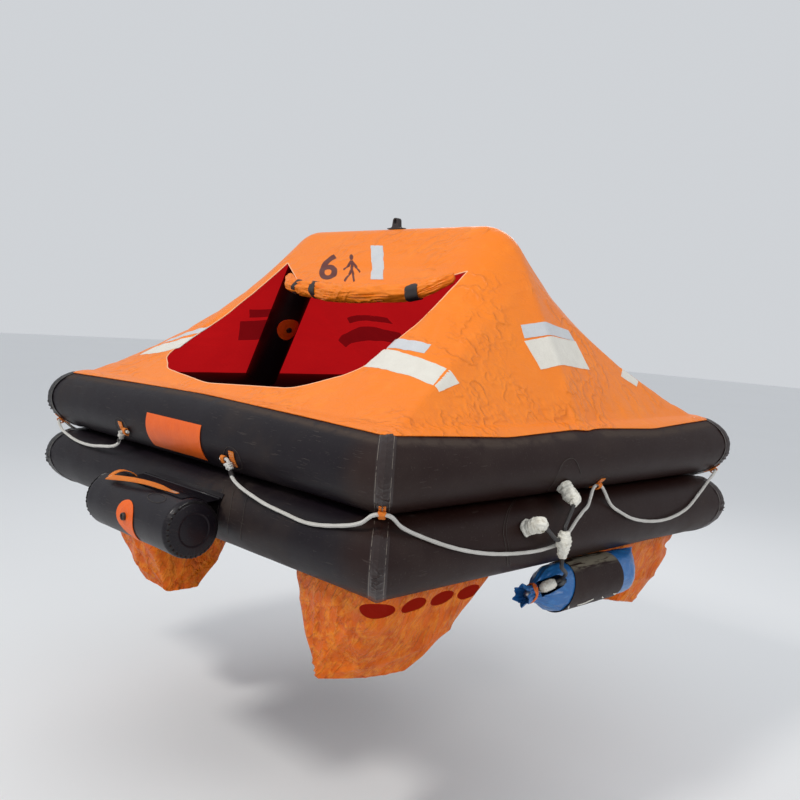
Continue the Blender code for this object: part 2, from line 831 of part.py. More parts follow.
def build_step_web(centre, pivot):
    """Fabric web from a bead on the hinge line over the top of the step."""
    reach = STEP_R + SEAT + FACET + WEBBING / 2
    to_hinge = math.atan2(-centre.y, -centre.z)
    path = [Vector((0.0, 0.0))]
    for step in range(7):
        angle = to_hinge - math.radians(14) - WEB_WRAP * step / 6
        path.append(Vector((-centre.y - reach * math.sin(angle), centre.z + reach * math.cos(angle))))
    bead = STEP_HINGE_PROUD - WEBBING - 2 * SEAT - FACET
    outline = beaded_strip(path, WEBBING, bead)
    frame = in_section(((WEB_LEFT + WEB_RIGHT) / 2, 0, 0), (0, -1, 0))
    plate("step_web", [outline], WEB_RIGHT - WEB_LEFT, frame, BLACK, pivot)


def build_step_handle(centre, pivot):
    """An orange strap along the step, with a hump for the hand."""
    start, end = HANDLE_X
    low = STEP_R + SEAT
    high = low + HANDLE_RISE
    ramp = (end - start) / 4
    corners = [
        ((start, low, 0), 0),
        ((start + HANDLE_TAB, low, 0), HANDLE_BEND),
        ((start + ramp, high, 0), HANDLE_BEND),
        ((end - ramp, high, 0), HANDLE_BEND),
        ((end - HANDLE_TAB, low, 0), HANDLE_BEND),
        ((end, low, 0), 0),
    ]
    outline = strip_outline(rounded_path(corners, 4)[::-1], WEBBING)
    out = Vector((0, -math.sin(HANDLE_ANGLE), math.cos(HANDLE_ANGLE)))
    frame = Matrix(((1, 0, 0), out, Vector((1, 0, 0)).cross(out))).transposed().to_4x4()
    frame.translation = (0, centre.y, centre.z)
    plate("step_handle", [outline], HANDLE_WIDTH, frame, WEB, pivot)


def loop_places():
    """Name, centreline point, outward direction, mitre factor and angle of each loop, in rope order."""
    front = (0, -1, 0)
    right = (1, 0, 0)
    back = (0, 1, 0)
    left = (-1, 0, 0)
    root = math.sqrt(2)
    places = [("loop_boarding_right", (LOOP_2_X, -HALF_Y, 0), front, 1, LOOP_ANGLE_DOOR)]
    places.append(("loop_corner_front_right", (HALF_X, -HALF_Y, 0), (1, -1, 0), root, LOOP_ANGLE))
    places.append(("loop_side_right", (HALF_X, LOOP_SIDE_Y, 0), right, 1, LOOP_ANGLE))
    places.append(("loop_corner_back_right", (HALF_X, HALF_Y, 0), (1, 1, 0), root, LOOP_ANGLE))
    places.append(("loop_back_right", (LOOP_BACK_X, HALF_Y, 0), back, 1, LOOP_ANGLE))
    places.append(("loop_back_left", (-LOOP_BACK_X, HALF_Y, 0), back, 1, LOOP_ANGLE))
    places.append(("loop_corner_back_left", (-HALF_X, HALF_Y, 0), (-1, 1, 0), root, LOOP_ANGLE))
    places.append(("loop_side_left", (-HALF_X, LOOP_SIDE_Y, 0), left, 1, LOOP_ANGLE))
    places.append(("loop_corner_front_left", (-HALF_X, -HALF_Y, 0), (-1, -1, 0), root, LOOP_ANGLE))
    places.append(("loop_boarding_left", (LOOP_1_X, -HALF_Y, 0), front, 1, LOOP_ANGLE_DOOR))
    return places


def slot_centre(k, angle):
    """Centre of a loop's slot in the tube's section."""
    surface = tube_surface(angle, UPPER_Z, k)
    return surface + Vector((math.sin(angle), math.cos(angle))) * (LOOP_SLOT[0] + WEBBING + LOOP_RIM)


def build_loop(name, point, outward, k, angle):
    """A webbing tab on the tube with a slot that the rope runs through."""
    base = []
    for step in range(7):
        turn = angle - LOOP_TAB + 2 * LOOP_TAB * step / 6
        base.append(tube_surface(turn, UPPER_Z, k, proud=SEAT + FACET))
    outline = strip_outline(base[::-1], WEBBING)
    centre = slot_centre(k, angle)
    normal = Vector((math.sin(angle), math.cos(angle)))
    along = Vector((normal.y, -normal.x))
    half_w = LOOP_SLOT[0]
    half_h = LOOP_SLOT[1] / 2
    slot = []
    shell = []
    for step in range(12):
        turn = step * math.tau / 12
        reach = Vector((math.cos(turn), math.sin(turn)))
        ease = abs(reach.y) ** 0.5 * math.copysign(1, reach.y)
        slot.append(centre + normal * half_w * reach.x + along * half_h * ease)
        shell.append(centre + normal * (half_w + WEBBING) * reach.x + along * (half_h + WEBBING) * ease)
    frame = in_section(point, outward)
    tab = as_mesh(plate(name, [outline], LOOP_WIDTH, frame, WEB))
    ring = as_mesh(plate(f"{name}_ring", [shell, slot], LOOP_WIDTH, frame, None, group=CUTTERS))
    boolean(tab, ring, "UNION")
    return tab


def build_lifeline():
    """The grab line, threaded through its loops from one side of the boarding place round to the other."""
    places = loop_places()
    for place in places:
        build_loop(*place)
    threaded = []
    for _, point, outward, k, angle in places:
        across = Vector(outward).normalized()
        section = slot_centre(k, angle)
        centre = Vector(point) + across * section.x + Vector((0, 0, section.y))
        threaded.append((centre, Vector((0, 0, 1)).cross(across)))
    hangs = [HANG_FRONT_RIGHT, HANG_BY_BOTTLE, HANG_SIDE, HANG_SHORT, HANG_SHORT]
    hangs += [HANG_SHORT, other_way(HANG_SIDE), other_way(HANG_BY_BOTTLE), HANG_FRONT_LEFT]
    run_out, run_down = END_RUN
    route = []
    for number, ((start, start_dir), (end, end_dir)) in enumerate(zip(threaded, threaded[1:])):
        leave = start + start_dir * LOOP_RUN
        arrive = end - end_dir * LOOP_RUN
        route += [start - start_dir * LOOP_RUN, leave]
        if number == 0:
            leave = leave + Vector((run_out, 0, run_down))
            route.append(leave)
            build_rope_end("right", route[-2], leave)
        if number == len(hangs) - 1:
            arrive = arrive + Vector((-run_out, 0, run_down))
        for share, height in hangs[number]:
            point = leave.lerp(arrive, share)
            point.z = height
            route.append(clear_of_lower_tube(point))
        if number == len(hangs) - 1:
            route.append(arrive)
            build_rope_end("left", end - end_dir * LOOP_RUN, arrive)
    end, end_dir = threaded[-1]
    route += [end - end_dir * LOOP_RUN, end + end_dir * LOOP_RUN]
    pipe("lifeline", route, ROPE_R, ROPE)


def other_way(hang):
    return [(1 - share, height) for share, height in hang[::-1]]


def build_rope_end(side, start, end):
    """The knot beside a last loop and the whipping beyond it, both round the rope's straight run."""
    along = (end - start).normalized()
    bore = ROPE_R + SEAT + FACET / 2
    shoulder = KNOT_R * 0.75
    cheek = KNOT_HALF * 0.4
    knot = [(bore, KNOT_HALF), (shoulder, KNOT_HALF), (KNOT_R, cheek)]
    knot += [(radius, -place) for radius, place in knot[::-1]]
    turned(f"lifeline_knot_{side}", knot + knot[:1], ROPE, start + along * KNOT_PLACE, along, steps=16)
    band = [(bore, WHIPPING_HALF), (WHIPPING_R, WHIPPING_HALF)]
    band += [(radius, -place) for radius, place in band[::-1]]
    middle = start + along * WHIPPING_PLACE
    turned(f"lifeline_whipping_{side}", band + band[:1], HOSE, middle, along, steps=16)


def clear_of_lower_tube(point):
    """Moves a rope point outwards until it lies on the lower tube."""
    drop = min(point.z - LOWER_Z, TUBE_R)
    lift = math.sqrt(max(TUBE_R**2 - drop**2, 0.0)) if drop > 0 else TUBE_R
    need = lift + ROPE_R + ROPE_EASE
    out_x = abs(point.x) - HALF_X
    out_y = abs(point.y) - HALF_Y
    if out_x >= out_y and out_x < need:
        point.x = math.copysign(HALF_X + need, point.x)
    if out_y > out_x and out_y < need:
        point.y = math.copysign(HALF_Y + need, point.y)
    return point


def build_bottle():
    """The gas bottle in its laced pouch, hung under the lower tube. Returns the height of its axis."""
    gap = SEAT + FACET / 2
    drop = math.sqrt((TUBE_R + SLEEVE_R + gap) ** 2 - (BOTTLE_X - HALF_X) ** 2)
    axis_z = LOWER_Z - drop
    base = Vector((BOTTLE_X, 0, axis_z))
    skin_r = POUCH_R - POUCH_SKIN / 2
    mouth_r, ruffle_r, neck_r = POUCH_NECK_RADII
    dome = POUCH_DOME
    shell = [(mouth_r, POUCH_NECK_Y), (ruffle_r, POUCH_NECK_Y + 0.02), (neck_r, POUCH_NECK_Y + 0.045)]
    for step in range(6):
        angle = math.radians(18 * step)
        along = POUCH_FRONT_Y - dome + 2 * dome * (1 - math.cos(angle))
        shell.append((neck_r + (skin_r - neck_r) * math.sin(angle), along))
    shell.append((skin_r, POUCH_BACK_Y - dome))
    for step in range(1, 6):
        angle = math.radians(18 * step)
        shell.append((max(skin_r * math.cos(angle), 0.0), POUCH_BACK_Y - dome * (1 - math.sin(angle))))
    pouch = turned("bottle_pouch", shell[::-1], BLUE, base, (0, 1, 0), steps=28)
    solidify(pouch, POUCH_SKIN)
    start, out = coupling_line(axis_z)
    long = COUPLING_LENGTH + POUCH_OPENING_R
    reach = [(0.0, long), (POUCH_OPENING_R, long), (POUCH_OPENING_R, 0.0), (0.0, 0.0)]
    boolean(pouch, turned("pouch_opening", reach, None, start, out, steps=20, group=CUTTERS))
    tip = POUCH_NECK_Y + VALVE_STEM_IN
    neck = POUCH_FRONT_Y + 0.055
    foot = POUCH_BACK_Y - 0.024
    bottle = [(0.0, tip), (VALVE_STEM_R, tip), (VALVE_STEM_R, neck), (0.03, neck + 0.012)]
    bottle += [(0.055, neck + 0.028), (BOTTLE_R, neck + 0.06)]
    bottle += [(BOTTLE_R, foot - 0.046), (0.055, foot - 0.006), (0.0, foot)]
    turned("gas_bottle", bottle[::-1], STEEL, base, (0, 1, 0), steps=28)
    front, back = SLEEVE_Y
    band = [(SLEEVE_R, back), (SLEEVE_R, front), (POUCH_R + gap, front), (POUCH_R + gap, back)]
    turned("bottle_sleeve", band + band[:1], HOSE, base, (0, 1, 0), steps=28)
    return axis_z


def coupling_line(axis_z):
    """Where the hose coupling starts, beside the bottle's valve stem, and which way it points."""
    out = Vector(COUPLING_TURN).normalized()
    clear = VALVE_STEM_R + SEAT + COUPLING_TIP_R * out.y
    return Vector((BOTTLE_X, COUPLING_Y, axis_z)) + out * clear / math.hypot(out.x, out.z), out


def build_inflation(axis_z):
    """Fittings on both tubes, the branch between them and the hoses to the gas bottle."""
    out_a = Vector((math.sin(FITTING_A_ANGLE), 0, math.cos(FITTING_A_ANGLE)))
    out_b = Vector((math.sin(FITTING_B_ANGLE), 0, math.cos(FITTING_B_ANGLE)))
    stand_off = TUBE_R + SEAT + FITTING_EASE
    base_a = Vector((HALF_X, FITTING_A_Y, UPPER_Z)) + out_a * stand_off
    base_b = Vector((HALF_X, FITTING_B_Y, LOWER_Z)) + out_b * stand_off
    cap = [(0.0, FITTING_LENGTH), (0.014, FITTING_LENGTH), (0.024, 0.043), (0.027, 0.026), (0.024, 0.008)]
    cap += [(0.030, 0.002), (0.030, 0.0), (0.0, 0.0)]
    turned("fitting_upper", cap, TAPE, base_a, out_a, steps=20)
    turned("fitting_lower", cap, TAPE, base_b, out_b, steps=20)
    branch = Vector(JUNCTION)
    body = [(0.0, JUNCTION_HALF), (0.018, JUNCTION_HALF), (JUNCTION_R, 0.025), (0.024, -0.01)]
    body += [(0.014, -JUNCTION_HALF), (0.0, -JUNCTION_HALF)]
    turned("hose_branch", body, TAPE, branch, (0, 0, 1), steps=20)
    tip_a = base_a + out_a * (FITTING_LENGTH + SEAT)
    tip_b = base_b + out_b * (FITTING_LENGTH + SEAT)
    up = Vector((0, 0, 1))
    forward = Vector((0, 1, 0))
    top = branch + up * (JUNCTION_HALF + SEAT)
    side = branch + up * 0.02 - forward * (JUNCTION_R + SEAT)
    bottom = branch - up * (JUNCTION_HALF + SEAT)
    pipe("hose_upper", [tip_a, tip_a + out_a * HOSE_LEAD, top + up * HOSE_LEAD, top], HOSE_R, HOSE)
    pipe("hose_lower", [tip_b, tip_b + out_b * HOSE_LEAD, side - forward * HOSE_LEAD, side], HOSE_R, HOSE)
    start, out = coupling_line(axis_z)
    end = start + out * COUPLING_LENGTH
    coupling = [(0.0, COUPLING_LENGTH), (COUPLING_TIP_R, COUPLING_LENGTH)]
    coupling += [(COUPLING_R, 0.8 * COUPLING_LENGTH)]
    coupling += [(COUPLING_R, 0.25 * COUPLING_LENGTH), (COUPLING_TIP_R, 0.0), (0.0, 0.0)]
    turned("hose_coupling", coupling, TAPE, start, out, steps=20)
    entry = end + out * SEAT
    route = [bottom, bottom - up * HOSE_LEAD, bottom - up * 2.5 * HOSE_LEAD, Vector(HOSE_BIGHT)]
    route += [entry + out * 2 * HOSE_LEAD, entry + out * HOSE_LEAD, entry]
    pipe("hose_bottle", smooth_route(route), HOSE_R, HOSE)


def smooth_route(points, steps=4):
    """Points read from a smooth curve through the given ones."""
    padded = [points[0] * 2 - points[1], *points, points[-1] * 2 - points[-2]]
    made = []
    for first, second, third, fourth in zip(padded, padded[1:], padded[2:], padded[3:]):
        for step in range(steps):
            t = step / steps
            slope = third - first
            bow = 2 * first - 5 * second + 4 * third - fourth
            twist = 3 * second - first - 3 * third + fourth
            made.append(second + (slope * t + bow * t**2 + twist * t**3) / 2)
    made.append(points[-1])
    return made


def build_pocket(name, signs, wall, spans, foot):
    """A water ballast pocket: an open bag under a corner of the raft, with drain holes in one outer wall."""
    top_z = TUBE_BOTTOM - SEAT - FACET / 2
    (inner_x, outer_x), (inner_y, outer_y) = spans
    around = ((inner_x, inner_y), (outer_x, inner_y), (outer_x, outer_y), (inner_x, outer_y))
    top = [(x, y, top_z) for x, y in around]

    def ring(depth, taper):
        corners = []
        for index, (high, low) in enumerate(zip(top, foot)):
            x = high[0] + (low[0] - high[0]) * taper
            y = high[1] + (low[1] - high[1]) * taper
            z = high[2] + (low[2] - high[2]) * depth
            radius = POCKET_CORNER_R if index == 2 else POCKET_EDGE_R
            corners.append(((x, y, z), radius * (1 - 0.6 * taper)))
        outline = rounded_loop(corners, 4)
        return [Vector((signs[0] * point.x, signs[1] * point.y, point.z)) for point in outline]

    def build(bm):
        rings = [[bm.verts.new(point) for point in ring(depth, taper)] for depth, taper in POCKET_LEVELS]
        for upper, lower in zip(rings, rings[1:]):
            for index in range(len(upper)):
                after = (index + 1) % len(upper)
                bm.faces.new((upper[index], upper[after], lower[after], lower[index]))
        bm.faces.new(rings[-1])

    pocket = add(name, mesh_from(name, build), LINING)
    solidify(pocket, POCKET_SKIN, -1.0)
    for index, (x, y, turn) in enumerate(drain_places(spans, wall)):
        hole = f"{name}_hole_{index}"
        cutter = add(hole, mesh_from(hole, drain_shape), None, group=CUTTERS)
        cutter.location = (signs[0] * x, signs[1] * y, top_z - POCKET_HOLE_DROP)
        cutter.rotation_euler = (0, 0, math.radians(turn) * signs[0] * signs[1])
        boolean(pocket, cutter)
    smooth(pocket, 45)


def drain_places(spans, wall):
    """Place and turn of the drain holes along one outer wall and round its corner, in the first quadrant."""
    (inner, outer) = spans[1 - wall]
    plane = spans[wall][1]
    places = []
    for away in POCKET_HOLES:
        if outer - away > inner + POCKET_HOLE_MARGIN:
            spot = (plane - POCKET_WALL_LEAN, outer - away)
            places.append((*(spot if wall == 0 else spot[::-1]), 90 * wall))
    corner = [span[1] - POCKET_CORNER_HOLE for span in spans]
    return [*places, (*corner, 45)]


def drain_shape(bm):
    """A flat oval cutter that reaches through a wall facing X."""
    turn = Matrix.Rotation(math.radians(90), 4, "Y")
    bmesh.ops.create_cone(
        bm, cap_ends=True, segments=16, radius1=1.0, radius2=1.0, depth=POCKET_HOLE_DEPTH, matrix=turn
    )
    bmesh.ops.scale(bm, vec=(1.0, POCKET_HOLE_HALF, POCKET_HOLE_RISE), verts=bm.verts)


def build_hoist_eye():
    """Webbing eye on a patch at the middle of the crown."""
    top = CANOPY_HEIGHT + SEAT
    right = [((EYE_FOOT, top + 0.004, 0), 0), ((0.018, top + 0.006, 0), 0.01)]
    right.append(((0.013, top + EYE_FOOT, 0), 0.012))
    left = [((-point[0], point[1], 0), radius) for point, radius in right[::-1]]
    outer = rounded_loop([((-EYE_FOOT, top, 0), 0), ((EYE_FOOT, top, 0), 0), *right, *left], 4)
    half_x, half_z = EYE_HOLE
    turns = [step * math.tau / 12 for step in range(12)]
    eye = [(half_x * math.cos(turn), EYE_HEIGHT + half_z * math.sin(turn)) for turn in turns]
    frame = Matrix.Rotation(math.radians(90), 4, "X")
    plate("hoist_eye", [[point[:2] for point in outer], eye], EYE_WIDTH, frame, HOSE)


def build_arch_valve():
    """Relief valve on the inner face of the arch's -X leg."""
    foot = Vector((-ARCH_FOOT[0], 0, ARCH_FOOT[1]))
    crown = Vector((-CROWN_HALF, 0, CROWN_Z))
    place = foot.lerp(crown, ARCH_VALVE_SHARE)
    patched_valve("arch_valve", place, crown - foot, ARCH_VALVE_FACE, ARCH_R)


def build_raft():
    upper_clearance = build_tube("upper_clearance", UPPER_Z, TUBE_R + SEAT, CUTTERS, None)
    lower_clearance = build_tube("lower_clearance", LOWER_Z, TUBE_R + SEAT, CUTTERS, None)
    build_tubes()
    build_floor(lower_clearance)
    build_arch(upper_clearance)
    ribs = canopy_ribs()
    build_canopy(ribs, upper_clearance)
    build_door_flap(ribs)
    build_arch_valve()
    build_hoist_eye()
    build_sign()
    build_step()
    build_lifeline()
    build_inflation(build_bottle())
    for pocket in POCKETS:
        build_pocket(*pocket)


build_raft()
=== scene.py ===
"""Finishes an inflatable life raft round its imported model.

Metres. The origin is in the hoist eye, +Z is up, the boarding side faces -Y and the gas bottle is on the
+X side. Heights are written from the mid plane, where the two tubes touch, and every mesh is let down by
EYE_HEIGHT.
"""

from contextlib import contextmanager
from math import acos, atan2, ceil, copysign, cos, hypot, pi, radians, sin, sqrt, tan, tau

import bmesh
import bpy
import numpy as np
from mathutils import Matrix, Vector, kdtree, noise
from mathutils.bvhtree import BVHTree


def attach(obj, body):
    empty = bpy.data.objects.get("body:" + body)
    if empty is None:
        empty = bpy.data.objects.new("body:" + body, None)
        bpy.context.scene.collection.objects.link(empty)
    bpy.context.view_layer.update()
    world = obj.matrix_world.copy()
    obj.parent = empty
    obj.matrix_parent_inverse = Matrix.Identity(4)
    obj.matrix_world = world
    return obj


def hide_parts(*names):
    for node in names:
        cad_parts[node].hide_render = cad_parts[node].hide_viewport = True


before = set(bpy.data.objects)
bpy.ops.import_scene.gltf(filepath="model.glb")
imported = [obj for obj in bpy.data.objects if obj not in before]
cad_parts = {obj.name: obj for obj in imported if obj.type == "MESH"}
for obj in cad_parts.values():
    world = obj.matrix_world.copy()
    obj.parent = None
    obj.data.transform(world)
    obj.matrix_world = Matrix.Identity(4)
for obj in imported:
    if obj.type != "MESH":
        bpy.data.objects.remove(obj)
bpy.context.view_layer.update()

# Camera, floor and light.
# A pale floor far below the raft, which hangs from its hoist eye, under one broad soft light from the
# boarding side, a weaker one from the bottle side and a pale sky.
EYE_HEIGHT = 0.940
BELOW = Vector((0, 0, EYE_HEIGHT))
UP = Vector((0, 0, 1))
IMAGE = 800
FOCAL_PIXELS = 888.7
CAMERA_PLACE = (2.6834, -2.5156, 0.5246)
CAMERA_TURN = (84.670, -4.022, 45.420)
CENTRE_PIXEL = (412.43, 408.31)
SENSOR = 36.0
FLOOR_DROP = 1.15
FLOOR_COLOUR = (0.84, 0.85, 0.86)
SKY_COLOUR = (0.87, 0.90, 0.94)
SKY_STRENGTH = 0.72

bpy.context.scene.view_settings.view_transform = "Standard"


def put(name, data):
    """The data as an object in the scene."""
    obj = bpy.data.objects.new(name, data)
    bpy.context.scene.collection.objects.link(obj)
    return obj


camera = put("camera", bpy.data.cameras.new("camera"))
camera.location = Vector(CAMERA_PLACE) - BELOW
camera.rotation_euler = [radians(turn) for turn in CAMERA_TURN]
camera.data.sensor_width = SENSOR
camera.data.lens = FOCAL_PIXELS / IMAGE * SENSOR
camera.data.shift_x = (IMAGE / 2 - CENTRE_PIXEL[0]) / IMAGE
camera.data.shift_y = (CENTRE_PIXEL[1] - IMAGE / 2) / IMAGE
bpy.context.scene.camera = camera

world = bpy.data.worlds.new("pale sky")
world.use_nodes = True
sky = world.node_tree.nodes["Background"]
sky.inputs["Color"].default_value = (*SKY_COLOUR, 1)
sky.inputs["Strength"].default_value = SKY_STRENGTH
bpy.context.scene.world = world


def add_light(name, place, target, width, watts, colour=(1, 1, 1)):
    lamp = bpy.data.lights.new(name, "AREA")
    lamp.shape = "DISK"
    lamp.size = width
    lamp.energy = watts
    lamp.color = colour
    holder = put(name, lamp)
    holder.location = Vector(place) - BELOW
    holder.rotation_euler = (Vector(target) - Vector(place)).to_track_quat("-Z", "Y").to_euler()


add_light("key_light", (0.4, -4.6, 4.3), (0, 0, 0.2), 1.0, 160, (1.0, 0.97, 0.92))
add_light("side_light", (5.0, -0.2, 3.0), (0, 0, 0.1), 1.6, 48, (1.0, 0.97, 0.93))
add_light("back_light", (-2.5, 4.0, 3.0), (0, 0, 0.2), 2.4, 50)


class Wire:
    """One socket of a node tree. Arithmetic on it adds Math nodes."""

    def __init__(self, owner, socket):
        self.owner = owner
        self.socket = socket

    def maths(self, operation, *values):
        return self.owner.node("ShaderNodeMath", {"operation": operation}, dict(enumerate(values)))

    def __add__(self, other):
        return self.maths("ADD", self, other)

    __radd__ = __add__

    def __sub__(self, other):
        return self.maths("SUBTRACT", self, other)

    def __rsub__(self, other):
        return self.maths("SUBTRACT", other, self)

    def __mul__(self, other):
        return self.maths("MULTIPLY", self, other)

    __rmul__ = __mul__

    def __truediv__(self, other):
        return self.maths("DIVIDE", self, other)

    def __pow__(self, other):
        return self.maths("POWER", self, other)

    def __abs__(self):
        return self.maths("ABSOLUTE", self)

    def sine(self):
        return self.maths("SINE", self)

    def below(self, edge, soft):
        """1 where the value is under edge, 0 where it is over, with a soft step between."""
        kept = {"interpolation_type": "SMOOTHSTEP"}
        values = {"Value": self, "From Min": edge - soft, "From Max": edge + soft}
        values.update({"To Min": 1.0, "To Max": 0.0})
        return self.owner.node("ShaderNodeMapRange", kept, values)

    def above(self, edge, soft):
        return 1 - self.below(edge, soft)


class Tree:
    """A node tree whose nodes are added one at a time."""

    def node(self, kind, settings=None, inputs=None, output=0):
        made = self.tree.nodes.new(kind)
        for setting, value in (settings or {}).items():
            setattr(made, setting, value)
        for socket, value in (inputs or {}).items():
            if isinstance(value, Wire):
                self.tree.links.new(value.socket, made.inputs[socket])
            elif isinstance(value, tuple) and made.inputs[socket].type == "RGBA":
                made.inputs[socket].default_value = (*value, 1)
            else:
                made.inputs[socket].default_value = value
        return Wire(self, made.outputs[output])


class Finish(Tree):
    """A material round one Principled shader."""

    def __init__(self, name, roughness=0.5, **sockets):
        self.material = bpy.data.materials.new(name)
        self.material.use_nodes = True
        self.tree = self.material.node_tree
        self.shader = self.tree.nodes["Principled BSDF"]
        self.shader.inputs["Roughness"].default_value = roughness
        for socket, value in sockets.items():
            self.shader.inputs[socket.replace("_", " ")].default_value = value

    def place(self):
        """Object coordinates, in metres."""
        return self.node("ShaderNodeTexCoord", output="Object")

    def lay(self):
        """The piece's own map, in metres along and across it."""
        return self.node("ShaderNodeTexCoord", output="UV")

    def split(self, vector):
        made = self.node("ShaderNodeSeparateXYZ", inputs={"Vector": vector})
        return [Wire(self, socket) for socket in made.socket.node.outputs]

    def stretched(self, vector, scale, turn=(0, 0, 0)):
        return self.node("ShaderNodeMapping", inputs={"Vector": vector, "Rotation": turn, "Scale": scale})

    def folds(self, vector, along, across, turn, detail=2.0):
        """Long soft ridges, from 0 to 1, that run along the first axis of a turned place."""
        turned_place = self.stretched(vector, (1, 1, 1), turn)
        uneven = self.noise(self.stretched(turned_place, (along, across, across)), 1.0, detail)
        ridge = 1 - abs(uneven - 0.5) * 6
        return ridge.maths("MAXIMUM", ridge, 0.0) ** 2

    def noise(self, vector, scale, detail=3.0, rough=0.5, distortion=0.0):
        values = {"Vector": vector, "Scale": scale, "Detail": detail}
        values.update({"Roughness": rough, "Distortion": distortion})
        return self.node("ShaderNodeTexNoise", inputs=values)

    def mix(self, share, first, second):
        values = {0: share, 6: first, 7: second}
        return self.node("ShaderNodeMix", {"data_type": "RGBA"}, values, output=2)

    def set(self, socket, value):
        self.tree.links.new(value.socket, self.shader.inputs[socket])

    def relief(self, height, distance):
        """Small relief, in metres at a height of 1."""
        self.set("Normal", self.node("ShaderNodeBump", inputs={"Height": height, "Distance": distance}))

    def grain(self, scale, distance, detail=3.0):
        self.relief(self.noise(self.place(), scale, detail), distance)

    def clouded(self, scale, first, second, detail=3.0, rough=0.5, painted_glow=False):
        """Colours the piece with soft clouds of two tones, and can make the same tones glow: a painted glow
        that stands in for light through a lining.
        """
        tone = self.mix(self.noise(self.place(), scale, detail, rough), first, second)
        self.set("Base Color", tone)
        if painted_glow:
            self.set("Emission Color", tone)

    def overlaid(self, share, colour):
        """Lays a colour over the one that the piece has."""
        under = Wire(self, self.shader.inputs["Base Color"].links[0].from_socket)
        self.set("Base Color", self.mix(share, under, colour))


FLOOR_HALF = 40.0
floor_finish = Finish("pale floor", 0.6)
floor_finish.clouded(0.6, FLOOR_COLOUR, tuple(0.97 * part for part in FLOOR_COLOUR))
floor_mesh = bpy.data.meshes.new("studio_floor")
floor_z = -EYE_HEIGHT - FLOOR_DROP
floor_corners = [(FLOOR_HALF * x, FLOOR_HALF * y, floor_z) for x, y in ((-1, -1), (1, -1), (1, 1), (-1, 1))]
floor_mesh.from_pydata(floor_corners, [], [(0, 1, 2, 3)])
floor_mesh.materials.append(floor_finish.material)
studio_floor = put("studio_floor", floor_mesh)

# Buoyancy tubes.
# Two stacked rings of black rubber-coated fabric, four mitred sides each, blown up hard. Their skins are
# glued from panels, so they are a little uneven, pucker at the mitres and carry dust, scuffs and dried glue.
TUBE_R = 0.12
HALF_X = 0.925
HALF_Y = 0.845
SEAT = 0.0004
UPPER_Z = TUBE_R + SEAT
LOWER_Z = -UPPER_Z
TUBE_BOTTOM = LOWER_Z - TUBE_R
TUBE_ROWS = 360
TUBE_ROUND = 64
SIDES = (
    ((-HALF_X, -HALF_Y), (1, 0), (0, -1), 2 * HALF_X), ((HALF_X, -HALF_Y), (0, 1), (1, 0), 2 * HALF_Y),
    ((HALF_X, HALF_Y), (-1, 0), (0, 1), 2 * HALF_X), ((-HALF_X, HALF_Y), (0, -1), (-1, 0), 2 * HALF_Y),
)


def dress(data, finishes, smooth):
    """Puts the finishes in the mesh's slots and keeps the edges sharper than smooth degrees."""
    data.materials.clear()
    for finish in finishes:
        data.materials.append(finish.material)
    data.shade_smooth()
    data.set_sharp_from_angle(angle=radians(smooth))


def add_mesh(name, points, faces, finishes, smooth=50):
    """A mesh piece from points above the mid plane, with the finishes in its slots."""
    data = bpy.data.meshes.new(name)
    lowered = np.asarray(points, float).reshape(-1, 3) - (0, 0, EYE_HEIGHT)
    data.from_pydata(lowered.tolist(), [], [list(face) for face in faces])
    dress(data, finishes, smooth)
    return put(name, data)


def add_grid(name, grid, finishes, along_closed=False, round_closed=False, flip=False, caps=False, smooth=50):
    """A piece from rows of points, with its map in metres: U along the rows and V across them."""
    grid = np.asarray(grid, float)
    rows, columns = grid.shape[:2]
    faces = []
    places = []
    for row in range(rows if along_closed else rows - 1):
        below = (row + 1) % rows
        for column in range(columns if round_closed else columns - 1):
            after = (column + 1) % columns
            face = [(row, column), (row, after), (below, after), (below, column)]
            place = [(row, column), (row, column + 1), (row + 1, column + 1), (row + 1, column)]
            faces.append([r * columns + c for r, c in (face[::-1] if flip else face)])
            places.append(place[::-1] if flip else place)
    steps = [np.diff(line, axis=0, append=line[:1]) for line in (grid[:, 0], grid[0])]
    along, across = (np.concatenate([[0], np.cumsum(np.linalg.norm(step, axis=1))]) for step in steps)
    if caps:
        ends = [list(range(columns))[::-1], list(range((rows - 1) * columns, rows * columns))]
        ends = [end[::-1] for end in ends] if flip else ends
        faces += ends[1:] if caps == "last" else ends
    obj = add_mesh(name, grid, faces, finishes, smooth)
    layer = obj.data.uv_layers.new(name="map")
    indices = np.array(places).reshape(-1, 2)
    flat = np.zeros((len(obj.data.loops), 2))
    flat[: len(indices), 0] = along[indices[:, 0]]
    flat[: len(indices), 1] = across[indices[:, 1]]
    layer.data.foreach_set("uv", flat.astype(np.float32).ravel())
    return obj


def fasten(obj, slot, *nodes, body="hull"):
    """Hides the nodes that the piece stands for and hangs it on the body that it moves with. The slot, for
    what it is made of, is not used.
    """
    if nodes:
        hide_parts(*nodes)
    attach(obj, body)
    return obj


def round_angles(count):
    return np.arange(count) * tau / count


def bell(value, centre, half):
    """1 at the centre, and less and less on both sides of it."""
    return np.exp(-(((value - centre) / half) ** 2))


def uneven(x, y, z):
    """Smooth noise from about -1 to 1."""
    return noise.noise(Vector((x, y, z)))


def rough(points, scale, seed=0.0, stretch=(1, 1, 1)):
    """Smooth noise from about -1 to 1 at each point."""
    a, b, c = (scale * part for part in stretch)
    flat = np.asarray(points, float).reshape(-1, 3)
    values = [uneven(x * a + seed, y * b - seed, z * c) for x, y, z in flat.tolist()]
    return 1.6 * np.array(values).reshape(np.shape(points)[:-1])


